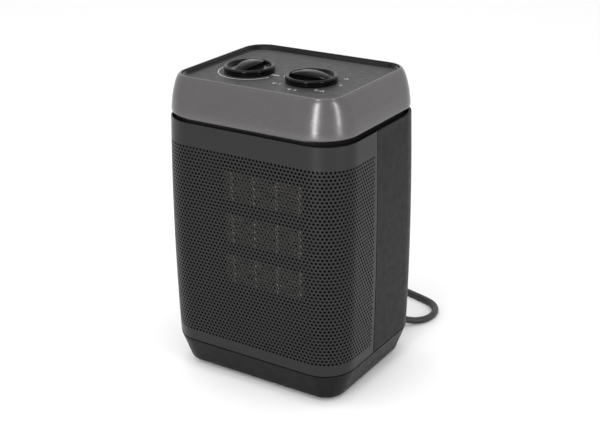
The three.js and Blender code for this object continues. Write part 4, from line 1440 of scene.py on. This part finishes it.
@dataclass
class RotaryKnob:
    """A knob with a round rim, a sunk face and a raised grip."""

    node: str
    body: str
    heading: float
    radius: float = 21 * MM
    height: float = 5.2 * MM
    well: float = 17.6 * MM
    floor: float = 2.2 * MM
    grip_width: float = 12.6 * MM
    grip_height: float = 8.3 * MM
    grip_end: float = 3.4 * MM

    def dish(self) -> tuple[np.ndarray, list[list[int]]]:
        """The turned body of the knob."""
        r, h, w, f = self.radius, self.height, self.well, self.floor
        crown = (r + w) / 2
        reach = (r - w) / 2
        profile: list[Point] = [(r - 0.5 * MM, 0), (r, 0.5 * MM), (r, h - reach)]
        profile += [(crown + reach * math.cos(a), h - reach + reach * math.sin(a))
                    for a in np.radians(range(15, 181, 15))]
        profile += [(w - 0.25 * MM, f + 0.9 * MM), (w - 0.9 * MM, f + 0.25 * MM), (w - 2 * MM, f), (0.0, f)]
        return Mesher.turned(profile, 96)

    def grip(self) -> tuple[np.ndarray, list[list[int]]]:
        """The raised bar: almond shaped from above and arched from the side."""
        rings: list[np.ndarray] = []
        for s in np.sin(np.linspace(-math.pi / 2, math.pi / 2, 33)):
            reach = s * (self.radius - 1.2 * MM)
            half = self.grip_width / 2 * (0.12 + 0.88 * (1 - s * s) ** 0.62)
            top = self.grip_end + (self.grip_height - self.grip_end) * (1 - s * s) ** 0.8
            base = self.floor - 0.8 * MM
            ring = [(reach, -half, base)]
            for a in np.linspace(math.pi, 0, 15):
                y = half * math.copysign(abs(math.cos(a)) ** 0.6, math.cos(a))
                ring.append((reach, y, base + (top - base) * (0.35 + 0.65 * math.sin(a) ** 0.6)))
            ring.append((reach, half, base))
            rings.append(np.array(ring))
        points, faces = Mesher.skin(rings, False)
        return points, [f[::-1] for f in faces]

    def pointer(self) -> tuple[np.ndarray, list[list[int]]]:
        """A fine raised line on the end of the grip that points."""
        rings = []
        for s in np.linspace(0.42, 0.86, 9):
            top = self.grip_end + (self.grip_height - self.grip_end) * (1 - s * s) ** 0.8
            x = s * (self.radius - 1.2 * MM)
            rings.append(np.array([(x, -0.4 * MM, top - 0.5 * MM), (x, -0.28 * MM, top + 0.1 * MM),
                                   (x, 0.28 * MM, top + 0.1 * MM), (x, 0.4 * MM, top - 0.5 * MM)]))
        points, faces = Mesher.skin(rings, False)
        return points, [f[::-1] for f in faces]

    def build(self) -> None:
        """Makes the knob and places it over its shaft."""
        low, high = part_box(self.node)
        points, faces = Mesher.joined([self.dish(), self.grip(), self.pointer()])
        a = math.radians(self.heading)
        x, y = points[:, 0].copy(), points[:, 1].copy()
        points[:, 0] = x * math.cos(a) - y * math.sin(a) + (low.x + high.x) / 2
        points[:, 1] = x * math.sin(a) + y * math.cos(a) + (low.y + high.y) / 2
        points[:, 2] += low.z
        piece = Mesher.make(f"{self.body}_control", points, faces, [GLOSS])
        settle(piece, self.body, "gloss_black", self.node)


@dataclass
class BaseUnit:
    """The base cover with its recess, the turntable foot and the screws."""

    field: CopyField
    outline: Outline = Outline()
    bottom: float = 4 * MM
    top: float = 28.1 * MM
    wall: float = 2.5 * MM
    foot: Inset = Inset(10.6 * MM, 10.9 * MM, 17 * MM)
    rim: Inset = Inset(1.5 * MM, 1.6 * MM, 27.6 * MM)
    recess: float = 52 * MM
    recess_roof: float = 18 * MM
    roof: float = 2.2 * MM
    bore: float = 8.3 * MM
    boss_at: tuple[float, float] = (62.5 * MM, 47 * MM)
    crank_at: float = -26 * MM
    crank_hole: float = 15.25 * MM

    def side(self, share: float) -> Inset:
        """The sloping side's level at a share of its height."""
        return Inset(*(a + (b - a) * share for a, b in zip(
            (self.foot.x, self.foot.y, self.foot.r), (self.rim.x, self.rim.y, self.rim.r))))

    def cover(self) -> bpy.types.Object:
        """The cover as one closed shell, with its wells and holes cut."""
        o, z0, z1 = self.outline, self.bottom, self.top
        high = z1 - z0
        like = o.ring(z0, self.foot)
        rings = [o.ring(z0, self.foot, 0.8 * MM), o.ring(z0 + 0.25 * MM, self.foot, 0.2 * MM)]
        rings += [o.ring(z0 + s * high, self.side(s)) for s in (0.04, 0.25, 0.5, 0.75, 0.96)]
        rings += [o.ring(z1 - 0.25 * MM, self.rim, 0.12 * MM), o.ring(z1, self.rim, 0.5 * MM)]
        rings += [o.ring(z1, self.rim, self.wall), o.ring(z0 + self.wall, self.side(0.1), self.wall)]
        drum, roof = self.recess + self.wall, self.recess_roof + self.roof
        rings += [o.round(like, r, z) for r, z in (
            (drum, z0 + self.wall), (drum, roof), (self.bore, roof), (self.bore, self.recess_roof),
            (self.recess, self.recess_roof), (self.recess, z0 + 0.4 * MM), (self.recess + 0.4 * MM, z0))]
        points, faces = Mesher.skin(rings, True)
        piece = Mesher.make("base_housing", points, faces, [HOUSING])
        return Mesher.cut(piece, self.cutters())

    def cutters(self) -> list[tuple[np.ndarray, list[list[int]]]]:
        """Shapes of the screw wells, the crank hole and the cord outlet."""
        x, y = self.boss_at
        shapes = [self._drill(4.2 * MM, 2 * MM, 8 * MM, (sx * x, sy * y)) for sx in (-1, 1) for sy in (-1, 1)]
        shapes.append(self._drill(
            self.crank_hole, self.recess_roof - MM, self.recess_roof + 5 * MM, (0, self.crank_at)))
        points, faces = Mesher.turned([(4.9 * MM, 55 * MM), (4.9 * MM, 75 * MM)], 32)
        placed = np.stack([points[:, 0], points[:, 2], -points[:, 1]], 1) + np.array([57 * MM, 0, 9.4 * MM])
        shapes.append((placed, faces))
        return shapes

    def _drill(self, radius: float, low: float, high: float, place: Point) -> tuple[np.ndarray, list[list[int]]]:
        """An upright round cutter."""
        points, faces = Mesher.turned([(radius, low), (radius, high)], 40)
        return points + np.array([*place, 0]), faces

    def bosses(self) -> tuple[np.ndarray, list[list[int]]]:
        """The four screw pillars inside the cover."""
        profile = [(6.0, 6.2), (6.0, 16.0), (1.9, 16.0), (1.9, 13.5), (4.25, 13.5), (4.25, 4.1), (5.0, 4.1), (5.0, 6.2)]
        shape = Mesher.turned([(r * MM, z * MM) for r, z in profile], 40, endless=True)
        x, y = self.boss_at
        return Mesher.joined([(shape[0] + np.array([sx * x, sy * y, 0]), shape[1])
                              for sx in (-1, 1) for sy in (-1, 1)])

    def screw_cell(self) -> tuple[np.ndarray, list[list[int]]]:
        """A pan-head screw, head down, with a cross cut in its head."""
        low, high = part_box("base_screw_1")
        length = high.z - low.z
        profile = [(2.4 * MM, 0), (3.2 * MM, 0.25 * MM), (3.6 * MM, 0.8 * MM), (3.6 * MM, 2.2 * MM),
                   (1.5 * MM, 2.2 * MM)]
        for k in range(8):
            z = 2.9 * MM + k * 0.95 * MM
            profile += [(1.2 * MM, z), (1.5 * MM, z + 0.45 * MM)]
        profile += [(1.2 * MM, length - 1.4 * MM), (0.0, length)]
        screw = Mesher.make("screw_blank", *Mesher.turned(profile, 28), [])
        tools = []
        for wide, deep in ((2.3 * MM, 0.42 * MM), (0.42 * MM, 2.3 * MM)):
            low_ring = np.array([(-wide, -deep, -MM), (wide, -deep, -MM), (wide, deep, -MM), (-wide, deep, -MM)])
            high_ring = low_ring * np.array([0.6, 0.6, 0]) + np.array([0, 0, 1.4 * MM])
            tools.append(Mesher.skin([low_ring, high_ring], False))
        Mesher.cut(screw, tools)
        points = np.array([v.co for v in screw.data.vertices])
        faces = [list(p.vertices) for p in screw.data.polygons]
        bpy.data.objects.remove(screw)
        return points, faces

    def foot_disc(self) -> bpy.types.Object:
        """The turned foot with its rim, hub and bore."""
        profile = [(49.2, 1.5), (50, 2.0), (50, 14.6), (49.6, 15.0), (47.9, 15.0), (47.5, 14.6),
                   (47.5, 4.6), (46.9, 4.0),
                   (8.6, 4.0), (8.0, 4.6), (8.0, 19.8), (7.6, 20.2), (5.4, 20.2), (5.0, 19.8), (5.0, 1.9), (5.4, 1.5),
                   (24, 1.5), (24.4, 1.9), (26, 1.9), (26.4, 1.5)]
        points, faces = Mesher.turned([(r * MM, z * MM) for r, z in profile], 120, endless=True)
        piece = Mesher.make("turntable_disc", points, faces, [HOUSING])
        return Mesher.cut(piece, [self._drill(2.9 * MM, 0, 8 * MM, (0, 32 * MM))])

    def build(self) -> None:
        """Makes the cover, pillars, screws and foot."""
        cover = self.cover()
        Mesher.weld(cover, self.bosses(), HOUSING)
        settle(cover, "housing", "dark_plastic", "base_cover")
        low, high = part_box("base_screw_1")
        x, y = (low.x + high.x) / 2, (low.y + high.y) / 2
        screws = self.field.grow("base_fixings", self.screw_cell(), STEEL, 2, 2, (x, y, low.z),
                                 (-2 * x, 0, 0), (0, -2 * y, 0))
        Mesher.smooth(screws)
        settle(screws, "housing", "zinc_steel", *[f"base_screw_{i}" for i in range(1, 5)])
        settle(self.foot_disc(), "foot", "dark_plastic", "turntable_foot")


@dataclass
class HeatingElement:
    """The corrugated fins between the ceramic bars."""

    field: CopyField
    fold: float = 2.5 * MM
    sheet: float = 0.28 * MM

    def cell(self, width: float, depth: float) -> tuple[np.ndarray, list[list[int]]]:
        """One fold of the fin: a leg across and a leg back."""
        rise, t = self.fold / 2, self.sheet
        legs = []
        for x0, x1, z in ((0.0, width, 0.0), (width, 0.0, rise)):
            corners = [(x0, z), (x1, z + rise - t), (x1, z + rise), (x0, z + t)]
            ring = np.array([(x, 0.0, h) for x, h in corners])
            points, faces = Mesher.skin([ring, ring + np.array([0, depth, 0])], False)
            legs.append((points, faces if x0 > x1 else [f[::-1] for f in faces]))
        return Mesher.joined(legs)

    def build(self) -> None:
        """Fills each fin block with folds."""
        for i in range(1, 6):
            low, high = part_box(f"fin_block_{i}")
            cell = self.cell(high.x - low.x, high.y - low.y)
            rows = int((high.z - low.z) / self.fold)
            piece = self.field.grow(f"fin_stack_{i}", cell, FINS, 1, rows, (low.x, low.y, low.z), (0, 0, 0),
                                    (0, 0, self.fold))
            settle(piece, "housing", "fin_aluminium", f"fin_block_{i}")


def dress_frame(frame: dict) -> None:
    """Gives every CAD node that still shows its finish.
    """
    for part in frame["record"]["subparts"]:
        node = frame["nodes"][part["node"]]
        if node.hide_render:
            continue
        finish = CERAMIC if part["node"].startswith("ceramic_bar") else SLOT_FINISH[part["material_slot"]]
        node.data.materials.clear()
        node.data.materials.append(finish.build())


def main() -> None:
    """Builds the heater in order."""
    logging.basicConfig(level=logging.INFO, format="%(message)s")
    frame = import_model()
    Viewpoint().build()
    MainsCord().build()
    field_of_copies = CopyField()
    for part in (
        PerforatedGrille(field_of_copies), SideGuard(), RearShell(field_of_copies), TopBand(), ControlPanel(),
        RotaryKnob("thermostat_knob", "thermostat", 90), RotaryKnob("selector_knob", "selector", 180),
        BaseUnit(field_of_copies), HeatingElement(field_of_copies),
    ):
        part.build()
    dress_frame(frame)
    Studio().build()


if __name__ == "__main__":
    main()
